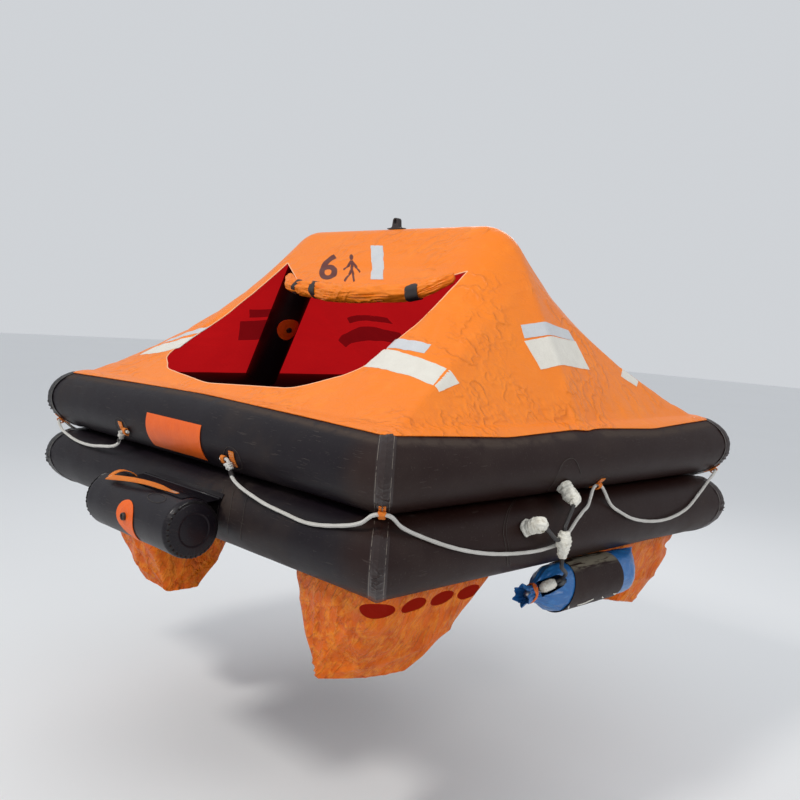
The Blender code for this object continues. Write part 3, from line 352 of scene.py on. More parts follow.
def tube_fabric(name, tint, dusty):
    """Black rubber-coated fabric with a fine weave, scuffs, dust and a few dull spots, and a painted
    brown-red shade on its +X side.
    """
    made = Finish(name, 0.42, Specular_IOR_Level=0.20)
    place = made.place()
    cloudy = made.noise(place, 3.0, 4.0, 0.6)
    patchy = made.noise(place, 11.0, 5.0, 0.65)
    scratch = made.noise(made.stretched(place, (6, 6, 90), (0.3, 0.2, 0.9)), 3.0, 2.0, 0.5)
    hairline = made.noise(made.stretched(place, (5, 140, 60), (0.9, 0.1, 0.5)), 2.0, 2.0, 0.5)
    scratches = scratch.above(0.67, 0.02) * patchy.above(0.55, 0.05) + hairline.above(0.70, 0.01) * 0.8
    specks = made.noise(place, 160.0, 1.0, 0.5).above(0.73, 0.02)
    scuff = made.node("ShaderNodeAttribute", {"attribute_name": "scuff"}, output="Fac")
    dust = cloudy.above(0.60, 0.12) * patchy * dusty + scuff * patchy.above(0.44, 0.10) * 1.6
    dark = made.mix(cloudy, tint, tuple(0.6 * part for part in tint))
    # Past x = 0.90, the +X side of the raft, the black is tinted brown-red: painted shade, for how that side
    # falls in its light.
    across, _, _ = made.split(place)
    dark = made.mix(across.above(0.90, 0.06), dark, (0.0150, 0.0042, 0.0030))
    dull = made.mix(dust, dark, (0.052, 0.036, 0.029))
    worn = made.mix(scratches * 0.30 * dusty + specks * 0.15, dull, (0.13, 0.105, 0.09))
    made.set("Base Color", worn)
    made.set("Roughness", 0.38 + patchy * 0.16 + dust * 0.3)
    weave = made.noise(place, 900.0, 1.0, 0.5)
    made.relief(patchy * 0.6 + weave * 0.12 - scratches * 0.3, 0.0012)
    return made


black_fabric = tube_fabric("black tube fabric", (0.0085, 0.0050, 0.0085), 0.6)


def tube_point(side, along, angle, height, proud=0.0):
    """A point on the skin of a ring: along one side from its mitre, at an angle from the tube's top."""
    (x, y), (dx, dy), (nx, ny), length = SIDES[side]
    out = (TUBE_R + proud) * sin(angle)
    run = along + out * (2 * along / length - 1)
    return (x + dx * run + nx * out, y + dy * run + ny * out, height + (TUBE_R + proud) * cos(angle))


def build_ring(name, height, seed):
    grid = []
    total = sum(side[3] for side in SIDES)
    angles = round_angles(TUBE_ROUND)
    sine, cosine = np.sin(angles), np.cos(angles)
    for side, ((x, y), (dx, dy), (nx, ny), length) in enumerate(SIDES):
        count = round(TUBE_ROWS * length / total)
        for row in range(count):
            share = row / count
            along = length * (share - 0.45 * sin(tau * share) / tau)
            near = min(along, length - along)
            pucker = 0.0016 * bell(near, 0, 0.055) * (1 - bell(near, 0, 0.006))
            folds = np.sin(angles * 13 + seed * 3 + side) * np.sin(angles * 5 + 2 * side + seed)
            sunk = 0.0015 * bell(near, 0, 0.02)
            radius = TUBE_R + pucker * folds - sunk
            out = radius * sine
            run = along + out * (2 * along / length - 1)
            places = (x + dx * run + nx * out, y + dy * run + ny * out, height + radius * cosine)
            grid.append(np.stack(places, axis=1))
    grid = np.array(grid)
    hollow = 0.0012 * rough(grid, 2.3, seed) + 0.0005 * rough(grid, 9.0, seed + 5)
    centre = np.mean(grid, axis=1, keepdims=True)
    grid = grid + (grid - centre) / TUBE_R * (hollow[..., None] - 0.0009)
    return add_grid(name, grid, [black_fabric], along_closed=True, round_closed=True)


upper_skin = fasten(build_ring("tube_upper_skin", UPPER_Z, 1.0), "tube_fabric", "upper_tube")
lower_skin = fasten(build_ring("tube_lower_skin", LOWER_Z, 7.0), "tube_fabric", "lower_tube")

# Corner strips.
# A strip of the same fabric glued over each mitre, from under the canopy to the other tube. The glue has
# drawn it into small glossy folds, and a line of dried glue shows along both edges.
STRIP_HALF = 0.023
GLUE_HALF = 0.032
GLUE_LINE = 0.0275
STRIP_SPANS = (("upper", UPPER_Z, 24, 172, 112), ("lower", LOWER_Z, 24, 178, 100))
STRIP_ACROSS = 20
STRIP_ALONG = 150

strip_fabric = tube_fabric("glossy strip fabric", (0.0060, 0.0042, 0.0055), 0.3)
strip_fabric.shader.inputs["Coat Weight"].default_value = 0.45
strip_fabric.shader.inputs["Coat Roughness"].default_value = 0.12
_, strip_across, _ = strip_fabric.split(strip_fabric.lay())
strip_line = abs(abs(strip_across - GLUE_HALF) - GLUE_LINE).below(0.0006, 0.0005)
strip_line = strip_line * strip_fabric.noise(strip_fabric.place(), 60.0, 3.0).above(0.44, 0.06)
strip_fabric.overlaid(strip_line * 0.75, (0.30, 0.26, 0.21))


def ring_point(side, along, angle, height, proud=0.0):
    """A point on a ring's skin, where a place before the side's mitre lies on the side before."""
    if along < 0:
        side = (side - 1) % 4
        along += SIDES[side][3]
    return tube_point(side, along, angle, height, proud)


def build_corner_strip(name, corner, height, first, last, crumpled, seed):
    """A strip across the mitre where one side ends and the next begins."""
    grid = []
    for row in range(STRIP_ALONG + 1):
        turn = first + (last - first) * row / STRIP_ALONG
        angle = radians(turn)
        crumple = bell(turn, crumpled, 15)
        wave = 0.0022 * uneven(angle * 3, seed, 1.5)
        line = []
        for column in range(STRIP_ACROSS + 1):
            away = GLUE_HALF * (2 * column / STRIP_ACROSS - 1)
            inside = min(max((STRIP_HALF + wave - abs(away)) / 0.004, 0), 1)
            spot = Vector((away * 17, angle * TUBE_R * 62, seed))
            fold = max(0.5 - 2.6 * abs(noise.noise(spot)), 0) * 0.0105 * crumple
            ripple = 0.0012 * uneven(away * 45, angle * 9, seed + 4)
            proud = 0.0011 + inside * (0.0011 + fold + ripple)
            line.append(ring_point(corner, away, angle, height, proud))
        grid.append(line)
    return add_grid(name, grid, [strip_fabric], flip=True)


for strip_number, (strip_name, *strip_span) in enumerate(STRIP_SPANS):
    for corner in range(4):
        name = f"corner_strip_{strip_name}_{corner}"
        fasten(build_corner_strip(name, corner, *strip_span, 3.7 * corner + 11 * strip_number), "tube_fabric")

# Floor.
# One sheet of the black fabric, laced flat between the sides of the lower tube.
@contextmanager
def opened(data):
    """The mesh, open to changes that are put back in it."""
    bm = bmesh.new()
    bm.from_mesh(data)
    yield bm
    bm.to_mesh(data)
    bm.free()


def bare_copy(node, name, finishes, smooth=40):
    """A merged copy of a node's mesh, to finish as a smooth piece."""
    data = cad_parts[node].data.copy()
    with opened(data) as bm:
        bmesh.ops.remove_doubles(bm, verts=bm.verts, dist=1e-5)
    dress(data, finishes, smooth)
    return put(name, data)


fasten(bare_copy("floor", "floor_sheet", [black_fabric]), "tube_fabric", "floor")

# Arch.
# One inflated tube of the same fabric that stands on the upper tube at both sides and carries the canopy.
ARCH_R = 0.075
ARCH_FOOT = (0.941, 0.132)
CROWN_HALF = 0.545
ARCH_BEND = 0.13
SHEET = 0.004
SHEET_R = ARCH_R + SHEET / 2 + 0.0011
CROWN_Z = 0.909 - SHEET_R - SHEET / 2


def corner_arc(before, corner, after, radius, steps):
    if radius <= 0:
        return [corner]
    into = (corner - before).normalized()
    out = (after - corner).normalized()
    turn = into.angle(out)
    start = corner - into * radius * tan(turn / 2)
    inward = (out - into * into.dot(out)).normalized()
    centre = start + inward * radius
    arc = []
    for step in range(steps + 1):
        angle = turn * step / steps
        arc.append(centre + (-inward * cos(angle) + into * sin(angle)) * radius)
    return arc


def rounded_path(corners, steps=6):
    points = [Vector(corners[0][0])]
    for before, here, after in zip(corners, corners[1:], corners[2:]):
        points += corner_arc(Vector(before[0]), Vector(here[0]), Vector(after[0]), here[1], steps)
    points.append(Vector(corners[-1][0]))
    return points


def divided(points, longest):
    made = []
    for first, second in zip(points, points[1:]):
        count = max(1, ceil((second - first).length / longest))
        made += [first.lerp(second, step / count) for step in range(count)]
    made.append(points[-1])
    return made


def shares_along(points):
    lengths = [0.0]
    for first, second in zip(points, points[1:]):
        lengths.append(lengths[-1] + (second - first).length)
    return [length / lengths[-1] for length in lengths]


def arch_path(foot=ARCH_FOOT, steps=12):
    foot_x, foot_z = foot
    corners = (
        ((-foot_x, 0, foot_z), 0),
        ((-CROWN_HALF, 0, CROWN_Z), ARCH_BEND),
        ((CROWN_HALF, 0, CROWN_Z), ARCH_BEND),
        ((foot_x, 0, foot_z), 0),
    )
    return rounded_path(corners, steps)


def sweep(path, radius_at, segments):
    """Rings round a path. radius_at takes the ring's share of the length and the angles round it."""
    path = [Vector(point) for point in path]
    shares = shares_along(path)
    side = UP
    rings = []
    angles = round_angles(segments)
    for index, point in enumerate(path):
        along = (path[min(index + 1, len(path) - 1)] - path[max(index - 1, 0)]).normalized()
        if index == 0 and abs(along.z) > 0.9:
            side = Vector((0, 1, 0))
        side = (side - along * side.dot(along)).normalized()
        other = along.cross(side)
        radius = radius_at(shares[index], angles)
        ring = np.outer(radius * np.cos(angles), side) + np.outer(radius * np.sin(angles), other)
        rings.append(np.array(point) + ring)
    return np.array(rings)


def add_tube(name, rings, finish, smooth=50):
    return add_grid(name, rings, [finish], round_closed=True, caps=True, smooth=smooth)


arch_rings = sweep(divided(arch_path(), 0.012), lambda share, angles: 0 * angles + ARCH_R - 0.0005, 48)
fasten(add_tube("arch_skin", arch_rings, black_fabric), "tube_fabric", "arch_tube")

# Canopy.
# Coated orange fabric, deep red inside, stretched from the front of the upper tube over the arch to the back
# and glued down all round. It creases above the doorway and where the pull runs to the corners.
CANOPY_FOOT = (0.923, 0.164)
RIM_DEPTH = 0.018
RIM_CORNER_R = 0.012
RIM_ANGLE_LEG = radians(36)
RIM_ANGLE_SIDE = radians(43)
RIM_ANGLE_CORNER = radians(28)
RIM_ANGLE_FRONT = radians(11)
RIM_LEG_Y = 0.0975
RIM_SIDE_Y = -0.42
PANEL_SAG = 0.040
RIB_SPACING = 0.0135
ARC_ROWS = 9
PANEL_ROWS = 66
CANOPY_SKIN = 0.0022
HEM_RISE = 0.0022
DOOR_HEM = (
    (-0.487, 0.756, 0.0), (-0.30, 0.675, 0.12), (0.05, 0.653, 0.8), (0.42, 0.662, 0.12),
    (0.580, 0.726, 0.0),
)
DOOR_SILL = (
    (0.562, 0.37, 0.09), (0.36, 0.292, 0.3), (-0.10, 0.266, 0.6), (-0.45, 0.29, 0.3), (-0.59, 0.34, 0.05),
)

orange_fabric = Finish("orange canopy fabric", Specular_IOR_Level=0.32, Coat_Weight=0.08, Coat_Roughness=0.25)
canopy_place = orange_fabric.place()
canopy_blotch = orange_fabric.noise(canopy_place, 14.0, 4.0, 0.6)
canopy_slant = orange_fabric.stretched(canopy_place, (1, 1, 2.6), (0.3, 0.5, 0.2))
canopy_crinkle = orange_fabric.noise(canopy_slant, 16, 5, 0.6, 0.8)
canopy_weave = orange_fabric.noise(canopy_place, 1100.0, 1.0, 0.5)
orange_fabric.clouded(2.2, (0.90, 0.238, 0.010), (0.85, 0.185, 0.006), 3.0, 0.6)
orange_fabric.overlaid(canopy_blotch.above(0.62, 0.12) * 0.35, (0.95, 0.28, 0.028))
orange_fabric.set("Roughness", 0.34 + canopy_blotch * 0.2)
canopy_patchy = orange_fabric.noise(canopy_place, 3.4, 2.0, 0.5).above(0.50, 0.06)
canopy_lines = orange_fabric.folds(canopy_place, 2.6, 15.0, (0, 0.85, 0.25)) * canopy_patchy
canopy_height = canopy_crinkle * 0.9 + canopy_weave * 0.03 + canopy_blotch * 0.2 + canopy_lines
orange_fabric.relief(canopy_height, 0.0050)

# The lining glows: painted light, standing in for daylight that comes through the orange fabric.
red_lining = Finish("deep red lining", 0.55, Specular_IOR_Level=0.2, Emission_Strength=0.75)
red_lining.clouded(4.0, (0.52, 0.008, 0.010), (0.42, 0.005, 0.008), painted_glow=True)
red_lining.grain(1100.0, 0.0004, 1.0)

# Long soft folds of the boarding side, as (x at the low end, lean, lowest z, highest z)
BROAD_FOLDS = ((0.52, 0.26, 0.38, 0.74), (-0.62, 0.35, 0.30, 0.62))


def rounded_loop(corners, steps=6):
    points = []
    for index, (point, radius) in enumerate(corners):
        before = Vector(corners[index - 1][0])
        after = Vector(corners[(index + 1) % len(corners)][0])
        points += corner_arc(before, Vector(point), after, radius, steps)
    return points


def points_at(points, shares):
    marks = shares_along(points)
    made = []
    place = 0
    for share in shares:
        while place < len(points) - 2 and marks[place + 1] < share:
            place += 1
        step = (share - marks[place]) / (marks[place + 1] - marks[place])
        made.append(points[place].lerp(points[place + 1], step))
    return made


def canopy_rim():
    """Half of the canopy's rim, from the foot of the -X leg round the boarding side to the +X leg."""
    reach = TUBE_R - RIM_DEPTH

    def on_side(sign, angle, y):
        return (sign * (HALF_X + reach * sin(angle)), y, UPPER_Z + reach * cos(angle))

    front_y = -HALF_Y - reach * sin(RIM_ANGLE_FRONT)
    corner_y = -HALF_Y - reach * sin(RIM_ANGLE_CORNER)
    left = [
        (on_side(-1, RIM_ANGLE_LEG, -RIM_LEG_Y), 0),
        (on_side(-1, RIM_ANGLE_SIDE, RIM_SIDE_Y), 0.8),
        (on_side(-1, RIM_ANGLE_CORNER, corner_y), RIM_CORNER_R),
    ]
    middle = ((0, front_y, UPPER_Z + reach * cos(RIM_ANGLE_FRONT)), 1.5)
    right = [((-point[0], point[1], point[2]), radius) for point, radius in left[::-1]]
    return rounded_path([*left, middle, *right], 4)


def canopy_section(centre, along, rim):
    """Points of one rib of the canopy, from the ridge round the arch and down a hollow panel to the rim."""
    side = Vector((0, -1, 0))
    up = Vector((-along.z, 0, along.x)).normalized()
    to_rim = rim - centre
    angle = 0.6
    for _ in range(12):
        normal = up * cos(angle) + side * sin(angle)
        touch = centre + normal * SHEET_R
        aim = to_rim - normal * (4 * PANEL_SAG * (rim - touch).length)
        toward_up = aim.dot(up)
        toward_side = aim.dot(side)
        distance = hypot(toward_up, toward_side)
        angle = atan2(toward_side, toward_up) - acos(min(SHEET_R / distance, 1.0))
        angle = max(angle, 0.12)
    normal = up * cos(angle) + side * sin(angle)
    touch = centre + normal * SHEET_R
    pull = (touch + rim) / 2 - normal * (2 * PANEL_SAG * (rim - touch).length)
    rib = []
    for row in range(ARC_ROWS):
        turn = angle * row / ARC_ROWS
        rib.append(centre + (up * cos(turn) + side * sin(turn)) * SHEET_R)
    for row in range(PANEL_ROWS + 1):
        share = row / PANEL_ROWS
        rib.append(touch.lerp(pull, share).lerp(pull.lerp(rim, share), share))
    return rib


def canopy_half():
    ridge = divided(arch_path(CANOPY_FOOT), RIB_SPACING)
    rim = points_at(canopy_rim(), shares_along(ridge))
    ribs = []
    for index, centre in enumerate(ridge):
        before = ridge[max(index - 1, 0)]
        after = ridge[min(index + 1, len(ridge) - 1)]
        ribs.append(canopy_section(centre, (after - before).normalized(), rim[index]))
    return np.array(ribs)


def hill(value, centre, half):
    """1 at the centre, falling smoothly to 0 at half away from it."""
    near = np.clip(1 - ((value - centre) / half) ** 2, 0, 1)
    return near * near


def pulled(grid, side):
    """Lets the taut sheet crease: side is 1 on the boarding half and 2 on the back half."""
    x, y, z = grid[..., 0], grid[..., 1], grid[..., 2]
    rows = np.arange(grid.shape[1])
    free = np.clip((rows - ARC_ROWS) / 8, 0, 1) * np.clip((grid.shape[1] - 4 - rows) / 10, 0, 1)
    slope = np.gradient(grid, axis=0), np.gradient(grid, axis=1)
    normal = np.cross(slope[0], slope[1])
    normal /= np.maximum(np.linalg.norm(normal, axis=2, keepdims=True), 1e-9)
    soft = 0.0035 * rough(grid, 2.6, 20 * side)
    level = 1 - abs(rough(grid, 1.0, 3 * side, (2.2, 1.0, 17)))
    above_door = hill(x, 0.10, 0.55) * hill(z, 0.745, 0.10)
    diagonal = 1 - abs(rough(np.stack([x + 0.9 * z, y, 0.35 * (z - x)], axis=-1), 1.0, 9 * side, (13, 3, 4)))
    right_panel = hill(x, 0.62, 0.42) * hill(z, 0.52, 0.36)
    left_panel = hill(x, -0.72, 0.40) * hill(z, 0.45, 0.30)
    foot = hill(z, 0.27, 0.09)
    upright = 1 - abs(rough(grid, 1.0, 31 * side, (15, 15, 2)))
    crease = 0.0120 * level**3 * above_door + 0.0055 * diagonal**3 * (right_panel + left_panel)
    crease = crease + 0.0045 * upright**3 * foot
    for fold_x, lean, low, high in BROAD_FOLDS:
        away = x - fold_x - lean * (z - low)
        reach = hill(z, (low + high) / 2, (high - low) / 2)
        crease = crease + 0.0075 * bell(away, 0, 0.016) * reach * (side == 1)
    return grid + normal * ((soft + crease) * free)[..., None]


def glued_down(points):
    """Lays what would be inside the upper tube on its skin, as the glued hem."""
    flat = points.reshape(-1, 3).copy()
    across_x = np.sign(flat[:, 0]) * HALF_X
    across_y = np.sign(flat[:, 1]) * HALF_Y
    out_x = np.abs(flat[:, 0]) - HALF_X
    out_y = np.abs(flat[:, 1]) - HALF_Y
    by_x = out_x >= out_y
    out = np.where(by_x, out_x, out_y)
    rise = flat[:, 2] - UPPER_Z
    away = np.hypot(out, rise)
    reach = TUBE_R + HEM_RISE
    push = np.where(away < reach, reach / np.maximum(away, 1e-6), 1.0)
    flat[:, 0] = np.where(by_x, across_x + np.sign(flat[:, 0]) * out * push, flat[:, 0])
    flat[:, 1] = np.where(~by_x, across_y + np.sign(flat[:, 1]) * out * push, flat[:, 1])
    flat[:, 2] = UPPER_Z + rise * push
    return flat.reshape(points.shape)


def facing_out(obj):
    with opened(obj.data) as bm:
        bmesh.ops.recalc_face_normals(bm, faces=bm.faces)
    return obj


def build_canopy():
    half = canopy_half()
    front = glued_down(pulled(half, 1))
    back = half * (1, -1, 1)
    back = glued_down(pulled(back[::-1], 2)[::-1])
    whole = np.concatenate([back[:, :0:-1], front], axis=1)
    canopy = add_grid("canopy_sheet", whole, [orange_fabric, red_lining, orange_fabric])
    solid = canopy.modifiers.new("Skin", "SOLIDIFY")
    solid.thickness = CANOPY_SKIN
    solid.offset = 0
    solid.material_offset = 1
    solid.material_offset_rim = 2
    outline = rounded_loop([((x, z, 0), radius) for x, z, radius in DOOR_HEM + DOOR_SILL], 8)
    count = len(outline)
    cutter_points = [(point.x, y, point.y) for y in (-1.3, -0.1) for point in outline]
    cutter_faces = [[i, (i + 1) % count, count + (i + 1) % count, count + i] for i in range(count)]
    cutter_faces += [list(range(count))[::-1], list(range(count, 2 * count))]
    cutter = facing_out(add_mesh("doorway_cutter", cutter_points, cutter_faces, [orange_fabric]))
    cut = canopy.modifiers.new("Doorway", "BOOLEAN")
    cut.solver = "MANIFOLD"
    cut.object = cutter
    bake(canopy)
    bpy.data.objects.remove(cutter)
    return canopy, whole


def bake(obj):
    """Turns the object's modifiers into plain mesh."""
    data = bpy.data.meshes.new_from_object(obj.evaluated_get(bpy.context.evaluated_depsgraph_get()))
    obj.modifiers.clear()
    obj.data = data
    return obj


canopy, canopy_grid = build_canopy()
canopy.data.set_sharp_from_angle(angle=radians(35))
fasten(canopy, "canopy_fabric", "canopy")


def search_tree(grid):
    rows, columns = grid.shape[:2]
    faces = []
    for row in range(rows - 1):
        for column in range(columns - 1):
            first = row * columns + column
            faces.append((first, first + 1, first + columns + 1, first + columns))
    return BVHTree.FromPolygons([Vector(point) for point in grid.reshape(-1, 3)], faces)


canopy_tree = search_tree(canopy_grid)
CANOPY_HEART = Vector((0, 0, 0.1))


def on_canopy(point, proud):
    """The nearest point of the sheet's middle, moved outwards from it."""
    place, normal, _, _ = canopy_tree.find_nearest(Vector(point))
    if normal.dot(place - CANOPY_HEART) < 0:
        normal = -normal
    return place + normal * proud


class Graph(Tree):
    """Geometry Nodes that build a piece along paths, from named inputs."""

    def __init__(self, name, **inputs):
        self.tree = bpy.data.node_groups.new(name, "GeometryNodeTree")
        sockets = self.tree.interface
        sockets.new_socket("Geometry", in_out="OUTPUT", socket_type="NodeSocketGeometry")
        sockets.new_socket("Geometry", in_out="INPUT", socket_type="NodeSocketGeometry")
        self.identifiers = {}
        for label, kind in {**inputs, "Material": "Material"}.items():
            made = sockets.new_socket(label, in_out="INPUT", socket_type=f"NodeSocket{kind}")
            self.identifiers[label] = made.identifier
        self.start = self.tree.nodes.new("NodeGroupInput")
        self.end = self.tree.nodes.new("NodeGroupOutput")

    def given(self, label):
        return Wire(self, self.start.outputs[label])

    def give(self, geometry):
        real = self.node("GeometryNodeRealizeInstances", inputs={"Geometry": geometry})
        dressed = {"Geometry": real, "Material": self.given("Material")}
        self.tree.links.new(self.node("GeometryNodeSetMaterial", inputs=dressed).socket, self.end.inputs[0])

    def run(self, name, paths, finish, closed=False, **values):
        """Builds the piece along the paths, given above the mid plane, and makes it plain mesh."""
        points = []
        edges = []
        for path in paths:
            first = len(points)
            points += [tuple(point) for point in path]
            edges += [(index, index + 1) for index in range(first, len(points) - 1)]
            if closed:
                edges.append((len(points) - 1, first))
        data = bpy.data.meshes.new(name)
        data.from_pydata((np.array(points) - (0, 0, EYE_HEIGHT)).tolist(), edges, [])
        obj = put(name, data)
        modifier = obj.modifiers.new(name, "NODES")
        modifier.node_group = self.tree
        modifier[self.identifiers["Material"]] = finish.material
        for label, value in values.items():
            modifier[self.identifiers[label]] = value
        return bake(obj)


def cord_graph():
    """A round cord along the paths."""
    made = Graph("cord along a path", Radius="Float", Step="Float", Sides="Int")
    line = made.node("GeometryNodeMeshToCurve", inputs={"Mesh": made.given("Geometry")})
    even = {"Curve": line, "Length": made.given("Step")}
    line = made.node("GeometryNodeResampleCurve", {"mode": "LENGTH"}, even)
    ring = {"Resolution": made.given("Sides"), "Radius": made.given("Radius")}
    ring = made.node("GeometryNodeCurvePrimitiveCircle", inputs=ring)
    swept = {"Curve": line, "Profile Curve": ring, "Fill Caps": True}
    made.give(made.node("GeometryNodeCurveToMesh", inputs=swept))
    return made


cord = cord_graph()

TRIM_R = 0.0024
edge_trim = Finish("pale edge binding", 0.55)
edge_trim.clouded(30.0, (0.93, 0.42, 0.20), (0.95, 0.55, 0.34))
door_line = []
door_outline = rounded_loop([((x, z, 0), radius) for x, z, radius in DOOR_HEM + DOOR_SILL], 8)
for spot in divided([*door_outline, door_outline[0]], 0.006)[:-1]:
    place, _, _, _ = canopy_tree.ray_cast(Vector((spot.x, -1.3, spot.y)), Vector((0, 1, 0)))
    door_line.append(place)
trim_look = {"Radius": TRIM_R, "Step": 0.005, "Sides": 10}
fasten(cord.run("doorway_binding", [door_line], edge_trim, closed=True, **trim_look), "canopy_fabric")

# Scuffs on the tubes where the canopy's hem and the boarding step have rubbed them.
rim_points = canopy_grid[:, [-1, 0]].reshape(-1, 3)
rim_tree = kdtree.KDTree(len(rim_points))
for rim_number, rim_point in enumerate(rim_points):
    rim_tree.insert(Vector(rim_point), rim_number)
rim_tree.balance()


def scuff(skin, amount):
    layer = skin.data.attributes.new("scuff", "FLOAT", "POINT")
    layer.data.foreach_set("value", [amount(vert.co + BELOW) for vert in skin.data.vertices])


def below_hem(place):
    return 0.8 * bell(rim_tree.find(place)[2], 0.022, 0.012)


def beside_step(place):
    near = hill(place.x, 0.28, 0.22) * hill(place.y, -0.95, 0.12) * hill(place.z, -0.07, 0.12)
    return 0.45 * float(near)


scuff(upper_skin, below_hem)
scuff(lower_skin, beside_step)

# Reflective patches.
# Pale retroreflective strips and cream panels stuck on the canopy at its corners and over both legs, with one
# strip above the doorway. Inside, the light that they stop shows as darker rectangles in the red lining.
CORNER_PATCHES = (
    (
        "corner_front_right", ((0.549, -0.49, 0.473), (0.701, -0.468, 0.46)),
        ((0.561, -0.532, 0.44), (0.712, -0.509, 0.432)),
        ((0.553, -0.536, 0.437), (0.74, -0.53, 0.411), (0.853, -0.495, 0.357)),
        ((0.552, -0.619, 0.379), (0.764, -0.612, 0.363), (0.866, -0.597, 0.331)),
    ),
    (
        "corner_front_left", ((-0.72, -0.575, 0.385), (-0.55, -0.50, 0.46)),
        ((-0.738, -0.615, 0.362), (-0.558, -0.54, 0.437)),
        ((-0.745, -0.63, 0.352), (-0.64, -0.60, 0.39), (-0.555, -0.555, 0.425)),
        ((-0.78, -0.69, 0.31), (-0.66, -0.68, 0.33), (-0.56, -0.64, 0.365)),
    ),
    (
        "corner_back_left", ((-0.70, 0.36, 0.545), (-0.45, 0.40, 0.555)),
        ((-0.71, 0.39, 0.515), (-0.44, 0.43, 0.525)),
        ((-0.812, 0.405, 0.424), (-0.681, 0.433, 0.498), (-0.438, 0.48, 0.484)),
        ((-0.826, 0.475, 0.385), (-0.72, 0.52, 0.425), (-0.45, 0.56, 0.425)),
    ),
    (
        "corner_back_right", ((0.549, 0.49, 0.473), (0.701, 0.468, 0.46)),
        ((0.561, 0.532, 0.44), (0.712, 0.509, 0.432)),
        ((0.553, 0.536, 0.437), (0.74, 0.53, 0.411), (0.853, 0.44, 0.40)),
        ((0.552, 0.619, 0.379), (0.764, 0.612, 0.363), (0.866, 0.52, 0.355)),
    ),
    (
        "ridge_right", ((0.77, -0.113, 0.551), (0.782, 0.01, 0.569), (0.762, 0.175, 0.546)),
        ((0.795, -0.119, 0.507), (0.801, 0.043, 0.523), (0.782, 0.19, 0.508)),
        ((0.799, -0.124, 0.498), (0.805, 0.033, 0.52), (0.781, 0.197, 0.507)),
        ((0.857, -0.095, 0.406), (0.86, 0.031, 0.424), (0.841, 0.209, 0.407)),
    ),
    (
        "ridge_left", ((-0.762, -0.177, 0.547), (-0.79, 0.0, 0.56), (-0.762, 0.12, 0.545)),
        ((-0.786, -0.158, 0.51), (-0.806, 0.0, 0.52), (-0.786, 0.12, 0.507)),
        ((-0.792, -0.201, 0.489), (-0.812, 0.0, 0.505), (-0.79, 0.14, 0.49)),
        ((-0.851, -0.168, 0.4), (-0.868, 0.0, 0.41), (-0.85, 0.14, 0.4)),
    ),
)
HEAD_STRIP = (
    ((-0.034, -0.103, 0.831), (0.039, -0.104, 0.83)),
    ((0.137, -0.244, 0.685), (0.203, -0.242, 0.686)),
)
PATCH_SKIN = 0.0012
PATCH_STEP = 0.004


def patch_finish(name, light, shade):
    made = Finish(name, 0.5, Coat_Weight=0.15)
    cloud = made.noise(made.place(), 24.0, 4.0, 0.6)
    made.set("Base Color", made.mix(cloud, light, shade))
    cells = {"Vector": made.place(), "Scale": 330.0}
    cells = made.node("ShaderNodeTexVoronoi", {"feature": "DISTANCE_TO_EDGE"}, cells)
    made.overlaid(cells.below(0.06, 0.05) * 0.35, tuple(0.7 * part for part in shade))
    made.relief(made.noise(made.place(), 40.0, 4.0) * 0.9 + cells * 0.2, 0.0016)
    return made


grey_patch = patch_finish("pale grey reflective patch", (0.66, 0.68, 0.70), (0.52, 0.54, 0.57))
cream_patch = patch_finish("cream reflective patch", (0.80, 0.78, 0.71), (0.66, 0.63, 0.56))
# This lining glows too, more dimly: painted light through the fabric, with painted shade where the patches
# stop it.
shaded_lining = Finish("shaded red lining", 0.6, Specular_IOR_Level=0.2, Emission_Strength=0.75)
shaded_lining.clouded(12.0, (0.215, 0.004, 0.006), (0.165, 0.003, 0.005), painted_glow=True)


def length_of(points):
    return sum((b - a).length for a, b in zip(points, points[1:]))


def along_line(points, share):
    return points_at([Vector(point) for point in points], [share])[0]


def lay_patch(name, top, bottom, finish, proud, ragged=0.0012):
    """A thin patch between its top and bottom edges, pressed on the canopy with its border dipping in."""
    width = length_of([Vector(point) for point in top])
    height = (Vector(bottom[0]) - Vector(top[0])).length
    across = np.linspace(0, 1, max(3, round(width / PATCH_STEP)))
    down = np.linspace(0, 1, max(3, round(height / PATCH_STEP)))
    grid = []
    for v in (0, *down, 1):
        line = []
        for u in (0, *across, 1):
            line.append(along_line(top, u).lerp(along_line(bottom, u), v))
        grid.append(line)
    last_row, last_column = len(grid) - 1, len(grid[0]) - 1
    laid = []
    for row, line in enumerate(grid):
        places = []
        for column, point in enumerate(line):
            border = row in (0, last_row) or column in (0, last_column)
            waver = Vector((noise.noise(point * 55), noise.noise(point * 60 + Vector((5, 5, 5))), 0)) * ragged
            places.append(tuple(on_canopy(point + waver, proud * 0.35 if border else proud)))
        laid.append(places)
    return fasten(add_grid(name, laid, [finish], flip=True), "canopy_fabric")


skin_top = CANOPY_SKIN / 2 + PATCH_SKIN
skin_under = -CANOPY_SKIN / 2 - 0.0005
for patch_name, grey_top, grey_bottom, cream_top, cream_bottom in CORNER_PATCHES:
    lay_patch(f"patch_{patch_name}_grey", grey_top, grey_bottom, grey_patch, skin_top)
    lay_patch(f"patch_{patch_name}_cream", cream_top, cream_bottom, cream_patch, skin_top, 0.002)
    lay_patch(f"shade_{patch_name}_upper", grey_top, grey_bottom, shaded_lining, skin_under)
    lay_patch(f"shade_{patch_name}_lower", cream_top, cream_bottom, shaded_lining, skin_under)
lay_patch("patch_above_doorway", *HEAD_STRIP, grey_patch, skin_top, 0.0025)

